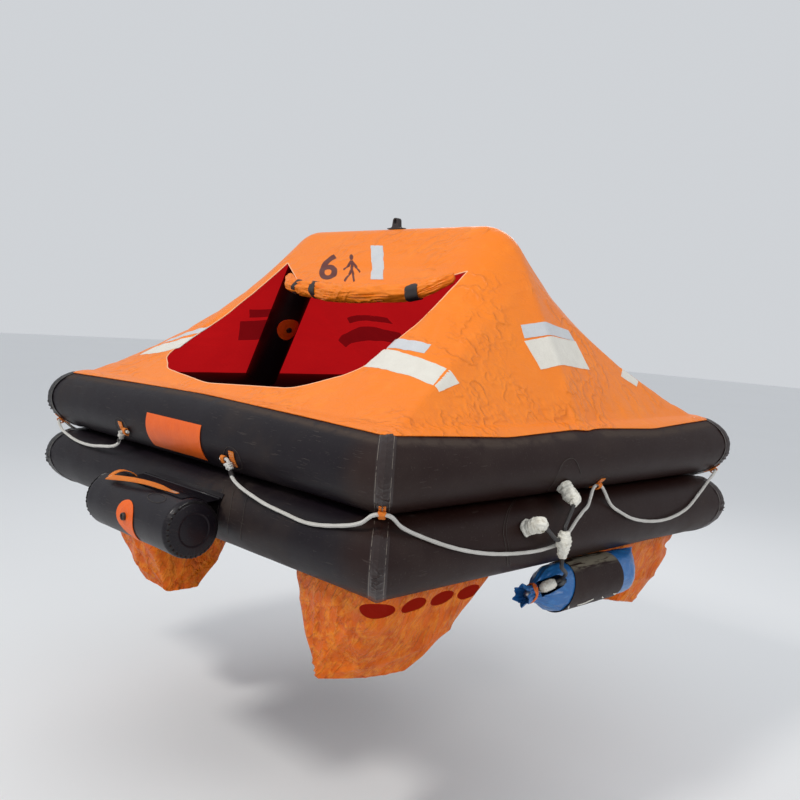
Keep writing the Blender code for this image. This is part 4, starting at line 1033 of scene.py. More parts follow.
# Marks above the doorway.
# The number of places and a standing figure, printed in dark maroon on the sheet.
SIX_BOX = ((-0.162, -0.256, 0.680), (-0.052, -0.254, 0.682), (-0.201, -0.139, 0.796), (-0.321, -0.139, 0.797))
FIGURE_BOX = ((-0.01, -0.263, 0.674), (0.094, -0.261, 0.675), (-0.056, -0.14, 0.795), (-0.169, -0.139, 0.796))
HEAD = (0.52, 0.885, 0.105, 0.105)
HEAD_CORNERS = 24
PRINT_RISE = 0.0004
STROKES = (
    ((0.52, 0.77), (0.52, 0.40), 0.17, 0.13), ((0.50, 0.745), (0.06, 0.44), 0.10, 0.07),
    ((0.54, 0.745), (0.96, 0.40), 0.10, 0.07), ((0.49, 0.43), (0.14, 0.02), 0.11, 0.10),
    ((0.55, 0.43), (0.68, 0.02), 0.11, 0.10),
)
maroon_print = Finish("maroon print", 0.5)
maroon_print.clouded(60.0, (0.085, 0.012, 0.008), (0.13, 0.02, 0.012))


def printed(name, data, box):
    """Cuts flat mesh data in a unit square into small faces, laid on the canopy between four corners."""
    low_left, low_right, high_right, high_left = (Vector(corner) for corner in box)
    with opened(data) as bm:
        bmesh.ops.triangulate(bm, faces=bm.faces)
        for _ in range(3):
            wide = [edge for edge in bm.edges if edge.calc_length() > 0.06]
            bmesh.ops.subdivide_edges(bm, edges=wide, cuts=1)
            bmesh.ops.triangulate(bm, faces=bm.faces)
        for vert in bm.verts:
            u, v, _ = vert.co
            spot = low_left.lerp(low_right, u).lerp(high_left.lerp(high_right, u), v)
            vert.co = on_canopy(spot, CANOPY_SKIN / 2 + PRINT_RISE) - BELOW
        bmesh.ops.recalc_face_normals(bm, faces=bm.faces)
    data.materials.clear()
    data.materials.append(maroon_print.material)
    return fasten(put(name, data), "canopy_fabric")


def digit_mesh():
    """The figure six, bold and leaning a little, in a unit box."""
    text = bpy.data.curves.new("six", "FONT")
    text.body = "6"
    text.offset = 0.022
    text.shear = 0.16
    holder = put("six", text)
    data = bpy.data.meshes.new_from_object(holder.evaluated_get(bpy.context.evaluated_depsgraph_get()))
    bpy.data.objects.remove(holder)
    points = np.array([vert.co[:] for vert in data.vertices])
    low, high = points.min(axis=0), points.max(axis=0)
    for vert in data.vertices:
        vert.co = ((vert.co.x - low[0]) / (high[0] - low[0]), (vert.co.y - low[1]) / (high[1] - low[1]), 0)
    return data


def figure_mesh():
    """A head, a body, two arms and two legs in a unit box."""
    middle_x, middle_y, half_x, half_y = HEAD
    turns = round_angles(HEAD_CORNERS)
    points = [(middle_x + half_x * cos(turn), middle_y + half_y * sin(turn), 0) for turn in turns]
    faces = [list(range(HEAD_CORNERS))]
    for start, end, wide, narrow in STROKES:
        along = (Vector(end) - Vector(start)).normalized()
        aside = Vector((-along.y, along.x))
        ends = ((start, wide), (end, narrow))
        left = [Vector(spot) + aside * width / 2 for spot, width in ends]
        right = [Vector(spot) - aside * width / 2 for spot, width in ends]
        faces.append(list(range(len(points), len(points) + 4)))
        points += [(*spot, 0.0) for spot in (left[0], right[0], right[1], left[1])]
    data = bpy.data.meshes.new("figure")
    data.from_pydata(points, [], faces)
    return data


printed("mark_six", digit_mesh(), SIX_BOX)
printed("mark_figure", figure_mesh(), FIGURE_BOX)

# Door flap.
# The same orange fabric rolled up under the hem of the doorway and strapped there. It bunches between the
# straps and its right end hangs loose.
FLAP_R = 0.033
FLAP_TAPER = 0.45
FLAP_SPAN = (0.12, 0.96)
FLAP_POINTS = 15
FLAP_EASE = 0.0018
TIE_EASE = 0.0008
TIE_LOOKS = ((0.016, 0.015), (-0.008, 0.019), (0.004, 0.026))
TIE_PLACES = {"left": 2, "middle": 4, "right": 12}
WEBBING = 0.0025
FLAP_ROWS = 220
FLAP_ROUND = 56
taut_ribs = canopy_half()


def even_shares(count):
    return [step / count for step in range(count + 1)]


def on_panel(x, height):
    """The point of the boarding side's taut panel at this x and height."""
    spots = np.array([[np.interp(-height, -rib[:, 2], rib[:, axis]) for axis in (0, 1)] for rib in taut_ribs])
    return Vector((x, np.interp(x, spots[:, 0], spots[:, 1]), height))


def flap_line():
    """Centres and radii of the rolled flap at its points."""
    edge = rounded_path([((x, z), radius) for x, z, radius in DOOR_HEM])
    hem = [on_panel(point.x, point.y) for point in divided(edge, 0.02)]
    first, last = FLAP_SPAN
    centres = []
    radii = []
    shares = even_shares(FLAP_POINTS - 1)
    for share, spot in zip(shares, points_at(hem, [first + (last - first) * share for share in shares])):
        down = (on_panel(spot.x, spot.z - 2 * FLAP_R) - spot).normalized()
        radius = FLAP_R * (FLAP_TAPER + (1 - FLAP_TAPER) * sin(pi * share) ** 0.5)
        reach = radius + SHEET / 2 * abs(down.y / down.z) + TIE_EASE + WEBBING + FLAP_EASE
        centre = spot + down * reach
        for _ in range(8):
            centre += down * (reach - min((centre - point).length for point in hem))
        centres.append(centre)
        radii.append(radius)
    return centres, radii


flap_centres, flap_radii = flap_line()
flap_marks = shares_along(flap_centres)
tie_marks = [flap_marks[index] for index in TIE_PLACES.values()]


def flap_radius(share, angles):
    """Radius of the roll: fuller between the straps, pinched and pleated at them, crumpled all along."""
    base = np.interp(share, flap_marks, flap_radii)
    pinch = sum(bell(share, mark, 0.022) for mark in tie_marks)
    beside = sum(bell(share, mark, 0.05) * (1 - bell(share, mark, 0.014)) for mark in tie_marks)
    pleats = np.sin(angles * 9 + share * 7) * 0.0014 * beside
    layer = 0.0016 * np.clip(np.sin(angles - 1.1 + 3 * share) * 8, -1, 1)
    crumple = [uneven(share * 7, cos(a) * 1.5, sin(a) * 1.5) for a in angles]
    fine = [abs(uneven(share * 11, cos(a) * 4.2, sin(a) * 4.2 + 9)) for a in angles]
    loose = 1 + 0.13 * np.array(crumple) - 0.24 * np.array(fine)
    return (base + 0.0050 + layer) * loose - 0.0045 * pinch + pleats


flap_path = points_at(flap_centres, even_shares(FLAP_ROWS))
flap_rings = sweep(flap_path, flap_radius, FLAP_ROUND)
flap_tail = flap_rings[-1:].mean(axis=1, keepdims=True)
flap_end = flap_tail + (flap_rings[-1:] - flap_tail) * 0.6 + (0.010, 0.004, 0.010)
flap_rings = np.concatenate([flap_rings, flap_end])
fasten(add_tube("door_flap_roll", flap_rings, orange_fabric, 60), "canopy_fabric", "door_flap")

# Door flap straps.
# Three black webbing bands round the roll.
black_webbing = Finish("black webbing", 0.62)
black_webbing.clouded(30.0, (0.016, 0.012, 0.013), (0.032, 0.024, 0.024))
band_weave = black_webbing.stretched(black_webbing.place(), (500, 500, 900))
black_webbing.relief(black_webbing.noise(band_weave, 1.0, 2.0), 0.0009)
pale_thread = Finish("pale thread", 0.7)
pale_thread.clouded(90.0, (0.72, 0.66, 0.56), (0.55, 0.48, 0.38))
BAND_STEPS = 60
BAND_TOP = ((-1, 0.0), (-0.94, 1.0), (-0.4, 1.05), (0.4, 1.05), (0.94, 1.0), (1, 0.0))
BAND_SECTION = (*BAND_TOP, (0.9, -0.1), (-0.9, -0.1))


def strap(name, places, half, finish, closed=False, thick=WEBBING):
    """A flat band through places, each its point, the way out of it and the way across it."""
    grid = []
    for point, out, across in places:
        grid.append([tuple(point + across * (a * half) + out * (r * thick)) for a, r in BAND_SECTION])
    return facing_out(add_grid(name, grid, [finish], along_closed=closed, round_closed=True, caps=not closed))


def build_band(name, node, mark, lean, half):
    """A flat band round the roll at one place, leaning a little along it."""
    centre = points_at(flap_centres, [mark])[0]
    before, after = points_at(flap_centres, [mark - 0.03, min(mark + 0.03, 1)])
    along = (after - before).normalized()
    radius = np.interp(mark, flap_marks, flap_radii) + TIE_EASE
    side = (UP - along * along.z).normalized()
    other = along.cross(side)
    places = []
    for angle in round_angles(BAND_STEPS):
        out = side * cos(angle) + other * sin(angle)
        wave = 1 + 0.05 * sin(5 * angle + mark * 40)
        places.append((centre + along * (lean * cos(angle)) + out * (radius * wave), out, along))
    return fasten(strap(name, places, half, black_webbing, closed=True), "black_trim", node)


for (tie_name, tie_index), (tie_lean, tie_half) in zip(TIE_PLACES.items(), TIE_LOOKS):
    build_band(f"door_band_{tie_name}", f"door_tie_{tie_name}", flap_marks[tie_index], tie_lean, tie_half)

# Arch valve.
# A relief valve on the -X leg: an orange disc welded round the tube, with a raised ring and a dark core.
PATCH_R = 0.055
PATCH_RISE = 0.0014
PATCH_RINGS = 34
PATCH_TURNS = 120
ARCH_VALVE_SHARE = 0.528
ARCH_VALVE_FACE = (0.853, -0.195, -0.484)
VALVE_PROFILE = (
    (0.0002, 0.0072), (0.0046, 0.0072), (0.0052, 0.0050), (0.0078, 0.0050), (0.0088, 0.0100),
    (0.0112, 0.0108), (0.0126, 0.0092), (0.0129, 0.0010), (0.0002, 0.0010),
)

orange_weld = Finish("orange coated patch", 0.45, Specular_IOR_Level=0.4)
orange_weld.clouded(18.0, (0.864, 0.142, 0.0036), (0.71, 0.0903, 0.0024), 4.0, 0.6)
orange_weld.grain(90.0, 0.0012, 4.0)
dark_rubber = Finish("dark rubber", 0.5)
dark_rubber.clouded(60.0, (0.020, 0.014, 0.013), (0.040, 0.026, 0.022))
dark_rubber.grain(300.0, 0.0005)


def turned(name, profile, finish, origin, direction, segments=48, dent=None, step=0.0015, smooth=40):
    """A profile of (radius, distance along) turned about an axis. dent moves the skin in or out."""
    along = Vector(direction).normalized()
    side = along.orthogonal().normalized()
    other = along.cross(side)
    angles = round_angles(segments)
    rings = []
    for spot in divided([Vector(point) for point in profile], step):
        radius = np.full(segments, spot.x)
        if dent:
            radius = np.maximum(radius + dent(angles, spot.y, spot.x), 0.0002)
        centre = np.array(Vector(origin) + along * spot.y)
        ring = np.outer(radius * np.cos(angles), side) + np.outer(radius * np.sin(angles), other)
        rings.append(centre + ring)
    return facing_out(add_tube(name, rings, finish, smooth))


def tailed(turn, tail):
    """How far a disc reaches at a turn when it is drawn out to a smaller round end at the tail."""
    if tail is None:
        return PATCH_R
    far, small = Vector(tail[:2]), tail[2]
    way = Vector((cos(turn), sin(turn)))
    best = PATCH_R
    for share in even_shares(40):
        centre = far * share
        radius = PATCH_R + (small - PATCH_R) * share
        aside = abs(centre.x * way.y - centre.y * way.x)
        if aside < radius:
            best = max(best, centre.dot(way) + sqrt(radius**2 - aside**2))
    return best


def build_valve(name, node, centre, axis, face, radius, tail=None, body="hull"):
    """A disc welded on a tube of this radius, and the valve in its middle."""
    out = Vector(face).normalized()
    axis = Vector(axis).normalized()
    side = axis.cross(out)
    grid = []
    for ring in range(PATCH_RINGS + 1):
        share = 0.02 + 0.98 * min(ring / (PATCH_RINGS - 1), 1)
        line = []
        for turn in round_angles(PATCH_TURNS):
            away = tailed(turn, tail) * share
            a, b = away * cos(turn), away * sin(turn)
            rise = 0.0008 * bell(away, 0.030, 0.0022) + 0.0006 * noise.noise(Vector((a, b, 0)) * 60)
            rise += 0.0007 * bell(share, 0.94, 0.03)
            rise = PATCH_RISE + rise if ring < PATCH_RINGS else 0.0001
            reach = radius + rise
            line.append(Vector(centre) + (out * cos(b / reach) + side * sin(b / reach)) * reach + axis * a)
        grid.append([tuple(point) for point in line])
    disc = add_grid(f"{name}_disc", grid, [orange_weld], round_closed=True)
    fasten(disc, "webbing", node, body=body)
    core = turned(f"{name}_core", VALVE_PROFILE, dark_rubber, Vector(centre) + out * radius, out)
    fasten(core, "webbing", body=body)


arch_foot = Vector((-ARCH_FOOT[0], 0, ARCH_FOOT[1]))
arch_crown = Vector((-CROWN_HALF, 0, CROWN_Z))
valve_place = arch_foot.lerp(arch_crown, ARCH_VALVE_SHARE)
build_valve("arch_valve", "arch_valve", valve_place, arch_crown - arch_foot, ARCH_VALVE_FACE, ARCH_R)

# Hoist eye.
# A black webbing eye sewn on a patch at the middle of the crown. The raft hangs from it.


def stitch_graph():
    """A row of long stitches along the paths, each a little askew."""
    kinds = {"Spacing": "Float", "Length": "Float", "Thickness": "Float", "Askew": "Float", "Seed": "Int"}
    made = Graph("row of stitches", **kinds)
    line = made.node("GeometryNodeMeshToCurve", inputs={"Mesh": made.given("Geometry")})
    even = {"Curve": line, "Length": made.given("Spacing")}
    line = made.node("GeometryNodeResampleCurve", {"mode": "LENGTH"}, even)
    thick = made.given("Thickness") * 0.5
    size = made.node("ShaderNodeCombineXYZ", inputs={"X": made.given("Length") * 0.5, "Y": thick, "Z": thick})
    bead = made.node("GeometryNodeMeshIcoSphere", inputs={"Radius": 1.0, "Subdivisions": 3})
    bead = made.node("GeometryNodeTransform", inputs={"Geometry": bead, "Scale": size})
    tilt = made.given("Askew")
    low, high = (made.node("ShaderNodeCombineXYZ", inputs={0: t, 1: t, 2: t}) for t in (tilt * -1, tilt))
    chance = {0: low, 1: high, "Seed": made.given("Seed")}
    chance = made.node("FunctionNodeRandomValue", {"data_type": "FLOAT_VECTOR"}, chance)
    heading = made.node("GeometryNodeInputTangent")
    heading = made.node("ShaderNodeVectorMath", {"operation": "ADD"}, {0: heading, 1: chance})
    turn = made.node("FunctionNodeAlignRotationToVector", {"axis": "X"}, {"Vector": heading})
    spread = {"Points": line, "Instance": bead, "Rotation": turn}
    made.give(made.node("GeometryNodeInstanceOnPoints", inputs=spread))
    return made


stitches = stitch_graph()
stitch_look = {"Thickness": 0.0011, "Askew": 0.12}
hoist_eye = bare_copy("hoist_eye", "hoist_eye_webbing", [black_webbing], 50)
eye_bevel = hoist_eye.modifiers.new("Edges", "BEVEL")
eye_bevel.width = 0.0012
eye_bevel.segments = 2
fasten(bake(hoist_eye), "black_trim", "hoist_eye")
EYE_TOP = 0.909 + 0.0052
eye_rows = []
for row_y in (-0.0085, -0.0045, 0.0045, 0.0085):
    for row_side in (-1, 1):
        row_heights = [(x, EYE_TOP + 0.001 * (0.042 - x) / 0.024) for x in (0.042, 0.03, 0.020)]
        eye_rows.append([(row_side * x, row_y, z) for x, z in row_heights])
eye_look = {"Spacing": 0.0042, "Length": 0.0032, "Seed": 4, **stitch_look}
fasten(stitches.run("hoist_eye_stitches", eye_rows, pale_thread, **eye_look), "black_trim")

# Boarding sign.
# A plain orange plate glued on the upper tube at the boarding place.
SIGN_X = (-0.18, 0.14)
SIGN_ANGLES = (75, 137)
SIGN_ROWS = 50
SIGN_COLUMNS = 120


def build_sign():
    grid = []
    for row in (0, *range(SIGN_ROWS + 1), SIGN_ROWS):
        angle = radians(SIGN_ANGLES[0] + (SIGN_ANGLES[1] - SIGN_ANGLES[0]) * row / SIGN_ROWS)
        line = []
        for column in (0, *range(SIGN_COLUMNS + 1), SIGN_COLUMNS):
            x = SIGN_X[0] + (SIGN_X[1] - SIGN_X[0]) * column / SIGN_COLUMNS
            wave = 0.0009 * uneven(x * 9, angle * 1.5, 3)
            wave += 0.0004 * uneven(x * 40, angle * 5, 7)
            line.append((x, angle, 0.0019 + wave))
        grid.append([(line[0][0], angle, 0.0003), *line[1:-1], (line[-1][0], angle, 0.0003)])
    grid[0] = [(x, angle, 0.0003) for x, angle, _ in grid[0]]
    grid[-1] = [(x, angle, 0.0003) for x, angle, _ in grid[-1]]
    laid = [[tube_point(0, x + HALF_X, angle, UPPER_Z, proud) for x, angle, proud in line] for line in grid]
    return add_grid("boarding_sign_plate", laid, [orange_weld], flip=True)


fasten(build_sign(), "webbing", "boarding_sign")

# Boarding step.
# An inflated bolster of the black fabric that hangs on a web from the lower tube. Its flat ends are drawn in
# with puckers along their seam. An orange strap on top serves as a handle, and its valve sits on the front.
STEP_ENDS = (-0.24, 0.335)
STEP_R = 0.095
STEP_Y = -1.075
STEP_Z = -0.149
STEP_ROUND = 160
STEP_VALVE_X = 0.065
STEP_TAIL = (0.030, 0.082, 0.012)
FLANGE_STEPS = 240
HANDLE_FOLD = (
    (-0.108, -18, 0.0015), (-0.115, -6, 0.012), (-0.122, 8, 0.018), (-0.126, 20, 0.0165),
    (-0.126, 31, 0.013),
)
HANDLE_RUN = (
    (-0.134, 32, 0.012), (-0.10, 31, 0.0155), (-0.03, 26, 0.0185), (0.05, 19, 0.0175), (0.12, 12, 0.0125),
    (0.18, 7, 0.0055), (0.235, 3, 0.0012),
)

orange_webbing = Finish("orange webbing", 0.65)
webbing_run, webbing_across, _ = orange_webbing.split(orange_webbing.lay())
webbing_ribs = (webbing_run * (tau / 0.0022)).sine() * (webbing_across * (tau / 0.0016)).sine()
orange_webbing.clouded(40.0, (0.883, 0.258, 0.0135), (0.691, 0.146, 0.006))
orange_webbing.overlaid(webbing_ribs.above(0.5, 0.3) * 0.3, (0.5, 0.10, 0.01))
orange_webbing.relief(webbing_ribs, 0.0004)
glue_stain = Finish("dried glue", 0.5)
glue_stain.clouded(45.0, (0.07, 0.055, 0.042), (0.022, 0.017, 0.015))


def build_step():
    """The bolster: a barrel between two slightly domed ends with a scalloped seam."""
    middle = sum(STEP_ENDS) / 2
    half = (STEP_ENDS[1] - STEP_ENDS[0]) / 2
    angles = round_angles(STEP_ROUND)
    outline = [((0.0002, half), 0), ((0.045, half - 0.001), 0.2), ((0.0835, half - 0.012), 0.01)]
    outline += [((STEP_R - 0.0005, half - 0.030), 0.02), ((STEP_R - 0.001, 0.0), 0)]
    outline = divided(rounded_path(outline, 8), 0.0050)
    outline += [Vector((point.x, -point.y)) for point in outline[-2::-1]]
    grid = []
    for point in outline:
        away = half - abs(point.y)
        near = bell(away, 0.016, 0.011)
        end = copysign(1, point.y)
        uneven = np.clip(0.35 + 0.9 * np.sin(angles - 0.6) + 0.35 * np.cos(angles * 3 + end), 0.1, 1.2)
        pleats = np.cos(angles * 34 + end) * 0.55 + np.cos(angles * 53 + 2 * end) * 0.45
        puckers = 0.0016 * near * (pleats * uneven - 0.8)
        radius = point.x + puckers * min(point.x / 0.05, 1)
        inward = 0.0007 * bell(point.x, 0.074, 0.010) * pleats * uneven
        dome = (inward if away < 0.02 else 0.0) - (0.0022 if away < 0.004 else 0.0)
        along = middle + point.y + end * dome
        y = STEP_Y - radius * np.sin(angles)
        z = STEP_Z + radius * np.cos(angles)
        grid.append(np.stack([np.broadcast_to(along, y.shape), y, z], axis=1))
    grid = np.array(grid)
    away = half - abs(grid[..., 0] - middle)
    barrel = np.clip((away - 0.04) / 0.05, 0, 1)
    out = grid - (0, STEP_Y, STEP_Z)
    out[..., 0] = 0
    out /= np.maximum(np.linalg.norm(out, axis=2, keepdims=True), 1e-6)
    grid = grid + out * (barrel * (0.0007 * rough(grid, 8.0, 2.0) - 0.0006))[..., None]
    step = facing_out(add_tube("boarding_step_skin", grid, step_fabric, 60))
    return fasten(step, "tube_fabric", "boarding_step", body="boarding_step")


step_fabric = tube_fabric("black step fabric", (0.0090, 0.0060, 0.0100), 0.4)
step_fabric.shader.inputs["Coat Weight"].default_value = 0.15
step_fabric.shader.inputs["Coat Roughness"].default_value = 0.2
build_step()
web_skin = bare_copy("step_web", "step_web_skin", [step_fabric], 50)
fasten(web_skin, "tube_fabric", "step_web", body="boarding_step")
seam_skin = bare_copy("step_seam_strip", "step_seam_strip_skin", [black_fabric], 50)
fasten(seam_skin, "tube_fabric", "step_seam_strip")

# The seam flange at both ends of the step, a thin scalloped edge that catches the light.
for flange_side, flange_x in (("left", STEP_ENDS[0] + 0.0135), ("right", STEP_ENDS[1] - 0.0135)):
    flange = []
    for turn in round_angles(FLANGE_STEPS):
        ruffled = min(max(0.35 + 0.9 * sin(turn - 0.6), 0.1), 1.2)
        reach = 0.0900 + ruffled * (0.0011 * cos(34 * turn) + 0.0007 * cos(53 * turn + 1))
        lean = 0.0012 * sin(31 * turn) * ruffled
        across = Vector((0, -sin(turn), cos(turn)))
        base = Vector((flange_x, STEP_Y, STEP_Z))
        lip = [(0.080, -0.0008), (reach, lean - 0.0007), (reach + 0.0006, lean), (reach, lean + 0.0007)]
        lip.append((0.080, 0.0008))
        flange.append([tuple(base + across * far + Vector((aside, 0, 0))) for far, aside in lip])
    name = f"step_flange_{flange_side}"
    flange = facing_out(add_grid(name, flange, [strip_fabric], along_closed=True, round_closed=True))
    fasten(flange, "tube_fabric", body="boarding_step")


def on_step(x, degrees, proud):
    """A point above the step's skin, the way out there and the way round the barrel."""
    angle = radians(degrees)
    out = Vector((0, -sin(angle), cos(angle)))
    return Vector((x, STEP_Y, STEP_Z)) + out * (STEP_R + proud), out, Vector((0, cos(angle), sin(angle)))


def smooth_route(points, spacing):
    """Evenly spaced points on a smooth curve through the given ones."""
    padded = [points[0] * 2 - points[1], *points, points[-1] * 2 - points[-2]]
    made = []
    for first, second, third, fourth in zip(padded, padded[1:], padded[2:], padded[3:]):
        knots = [0.0]
        for a, b in ((first, second), (second, third), (third, fourth)):
            knots.append(knots[-1] + sqrt(max((b - a).length, 1e-6)))
        for step in range(8):
            t = knots[1] + (knots[2] - knots[1]) * step / 8
            a1 = first.lerp(second, (t - knots[0]) / (knots[1] - knots[0]))
            a2 = second.lerp(third, (t - knots[1]) / (knots[2] - knots[1]))
            a3 = third.lerp(fourth, (t - knots[2]) / (knots[3] - knots[2]))
            b1 = a1.lerp(a2, (t - knots[0]) / (knots[2] - knots[0]))
            b2 = a2.lerp(a3, (t - knots[1]) / (knots[3] - knots[1]))
            made.append(b1.lerp(b2, (t - knots[1]) / (knots[2] - knots[1])))
    made.append(points[-1])
    count = max(2, round(length_of(made) / spacing))
    return points_at(made, even_shares(count))


def smooth_rows(rows, count):
    """Even steps along a smooth curve through rows of three numbers."""
    line = smooth_route([Vector((row[0], row[1] / 600, row[2])) for row in rows], 0.002)
    return [(point.x, point.y * 600, point.z) for point in points_at(line, even_shares(count))]


fold_places = []
for x, turn, proud in smooth_rows(HANDLE_FOLD, 24):
    spot, out, _ = on_step(x, turn, proud)
    fold_places.append((spot, out, Vector((1, 0, 0))))
fold = strap("step_handle_fold", fold_places, 0.0115, orange_webbing)
fasten(fold, "webbing", "step_handle", body="boarding_step")
handle_places = []
for x, turn, proud in smooth_rows(HANDLE_RUN, 90):
    spot, out, across = on_step(x, turn, proud)
    tip = min(max((0.245 - x) / 0.10, 0.45), 1)
    handle_places.append((spot, out, across * tip))
handle = strap("step_handle_strap", handle_places, 0.0125, orange_webbing)
fasten(handle, "webbing", body="boarding_step")
run_x, run_turn, run_proud = zip(*HANDLE_RUN)
handle_rows = []
for sewn_span in ((0.198, 0.228), (-0.131, -0.119)):
    for aside in (-0.005, 0.0, 0.005):
        row = []
        for x in sewn_span:
            proud = np.interp(x, run_x, run_proud) + WEBBING + 0.0004
            spot, _, across = on_step(x, np.interp(x, run_x, run_turn), proud)
            row.append(spot + across * aside)
        handle_rows.append(row)
handle_look = {"Spacing": 0.004, "Length": 0.003, "Seed": 2, **stitch_look}
handle_stitches = stitches.run("step_handle_stitches", handle_rows, pale_thread, **handle_look)
fasten(handle_stitches, "webbing", body="boarding_step")
step_valve_place = (STEP_VALVE_X, STEP_Y, STEP_Z)
step_valve_look = (STEP_R, STEP_TAIL, "boarding_step")
build_valve("step_valve", "step_valve", step_valve_place, (1, 0, 0), (0, -1, 0), *step_valve_look)


# Lines of dried glue round what is stuck on the tubes and on the step.
def on_ring(centre, height, point, proud=0.0007):
    """The nearest point of a straight tube's skin, where centre gives the tube's fixed x or y."""
    axis = 0 if centre[0] else 1
    place = Vector(point)
    away = Vector((place[axis] - centre[axis], place.z - height)).normalized() * (TUBE_R + proud)
    place[axis] = centre[axis] + away.x
    place.z = height + away.y
    return place


def glue_line(name, centre, height, points, radius=0.0007):
    path = smooth_route([Vector(point) for point in points], 0.006)
    line = [on_ring(centre, height, point) for point in path]
    return fasten(cord.run(name, [line], glue_stain, Radius=radius, Step=0.006, Sides=6), "tube_fabric")


STEP_GLUE = (
    ((0.262, -0.93, -0.036), (0.285, -0.95, -0.085), (0.270, -0.956, -0.165)),
    ((0.315, -0.92, -0.036), (0.352, -0.95, -0.100), (0.330, -0.955, -0.175)),
    ((0.401, -0.93, -0.040), (0.425, -0.955, -0.110), (0.398, -0.95, -0.180)),
)
for glue_number, glue_points in enumerate(STEP_GLUE):
    glue_line(f"step_glue_{glue_number}", (0, -HALF_Y), LOWER_Z, glue_points, 0.0006)
oval = []
for oval_turn in (tau * share for share in even_shares(48)):
    oval.append(on_step(0.185 + 0.05 * cos(oval_turn), 33 + 11 * sin(oval_turn), 0.0002)[0])
handle_glue = cord.run("step_handle_glue", [oval], glue_stain, Radius=0.0007, Step=0.004, Sides=6)
fasten(handle_glue, "tube_fabric", body="boarding_step")

# Lifeline.
# A braided white line that runs through ten webbing loops round the raft. It hangs in swags between them and
# ends beside the boarding place in a seized knot and a black whipping on each side.
ROPE_R = 0.0055
LOOP_SLOT = (0.0064, 0.024)
LOOP_RUN = 0.02
END_RUN = (0.034, -0.052)
ROPE_EASE = 0.0056
LOOP_ANGLE_DOOR = radians(117)
LOOP_ANGLE = radians(140)
LOOP_SIDE_Y = 0.08
LOOP_BACK_X = 0.33
LOOPS = (
    ("boarding_right", 0, HALF_X + 0.30, LOOP_ANGLE_DOOR), ("corner_front_right", 1, 0, LOOP_ANGLE),
    ("side_right", 1, HALF_Y + LOOP_SIDE_Y, LOOP_ANGLE), ("corner_back_right", 2, 0, LOOP_ANGLE),
    ("back_right", 2, HALF_X - LOOP_BACK_X, LOOP_ANGLE), ("back_left", 2, HALF_X + LOOP_BACK_X, LOOP_ANGLE),
    ("corner_back_left", 3, 0, LOOP_ANGLE), ("side_left", 3, HALF_Y - LOOP_SIDE_Y, LOOP_ANGLE),
    ("corner_front_left", 0, 0, LOOP_ANGLE), ("boarding_left", 0, HALF_X - 0.36, LOOP_ANGLE_DOOR),
)
HANG_FRONT_RIGHT = ((0.22, -0.034), (0.41, -0.049), (0.60, -0.054), (0.78, -0.038), (0.92, -0.012))
HANG_BY_BOTTLE = (
    (0.05, -0.015), (0.12, -0.047), (0.236, -0.088), (0.376, -0.121), (0.534, -0.141), (0.672, -0.145),
    (0.76, -0.131), (0.86, -0.069), (0.905, -0.051), (0.95, -0.037),
)
HANG_SIDE = (
    (0.05, -0.047), (0.11, -0.077), (0.18, -0.100), (0.34, -0.124), (0.50, -0.127), (0.66, -0.103),
    (0.82, -0.055), (0.95, -0.010),
)
HANG_SHORT = (
    (0.08, 0.0), (0.22, -0.030), (0.38, -0.046), (0.5, -0.05), (0.62, -0.046), (0.78, -0.030), (0.92, 0.0),
)
HANG_FRONT_LEFT = ((0.06, -0.008), (0.18, -0.024), (0.33, -0.035), (0.52, -0.036), (0.70, -0.026))

white_rope = Finish("white braided rope", 0.75)
rope_along, rope_round, _ = white_rope.split(white_rope.lay())
BRAID_PITCH = 0.0075
ROPE_GIRTH = tau * ROPE_R
rope_first = (rope_along / BRAID_PITCH + rope_round * (4 / ROPE_GIRTH)) * tau
rope_second = (rope_along / BRAID_PITCH - rope_round * (4 / ROPE_GIRTH)) * tau
rope_braid_and_shade = rope_first.sine() * rope_second.sine()
white_rope.clouded(9.0, (0.86, 0.85, 0.82), (0.66, 0.63, 0.57), 4.0)
# Darker in the grooves between the braid's strands: painted shade.
white_rope.overlaid(rope_braid_and_shade.below(-0.2, 0.5) * 0.55, (0.40, 0.37, 0.33))
rope_fibre = white_rope.noise(white_rope.stretched(white_rope.lay(), (900, 2600, 1)), 1.0, 2.0)
white_rope.relief(rope_braid_and_shade + rope_fibre * 0.3, 0.0011)


def other_way(hang):
    return [(1 - share, height) for share, height in hang[::-1]]


def slot_centre(side, start, angle):
    """The middle of a loop's slot and the way out of the raft there, on a side or on its first mitre."""
    (x, y), (dx, dy), normal, _ = SIDES[side]
    outward = Vector((*normal, 0))
    if not start:
        outward += Vector((*SIDES[side - 1][2], 0))
    reach = LOOP_SLOT[0] + WEBBING + 0.0015
    out = (hypot(outward.x, outward.y) * TUBE_R + reach) * sin(angle)
    rise = UPPER_Z + (TUBE_R + reach) * cos(angle)
    return Vector((x + dx * start, y + dy * start, rise)) + outward.normalized() * out, outward


def clear_of_lower_tube(point):
    drop = min(point.z - LOWER_Z, TUBE_R)
    lift = sqrt(max(TUBE_R**2 - drop**2, 0.0)) if drop > 0 else TUBE_R
    need = lift + ROPE_R + ROPE_EASE
    out_x = abs(point.x) - HALF_X
    out_y = abs(point.y) - HALF_Y
    if out_x >= out_y and out_x < need:
        point.x = copysign(HALF_X + need, point.x)
    if out_y > out_x and out_y < need:
        point.y = copysign(HALF_Y + need, point.y)
    return point


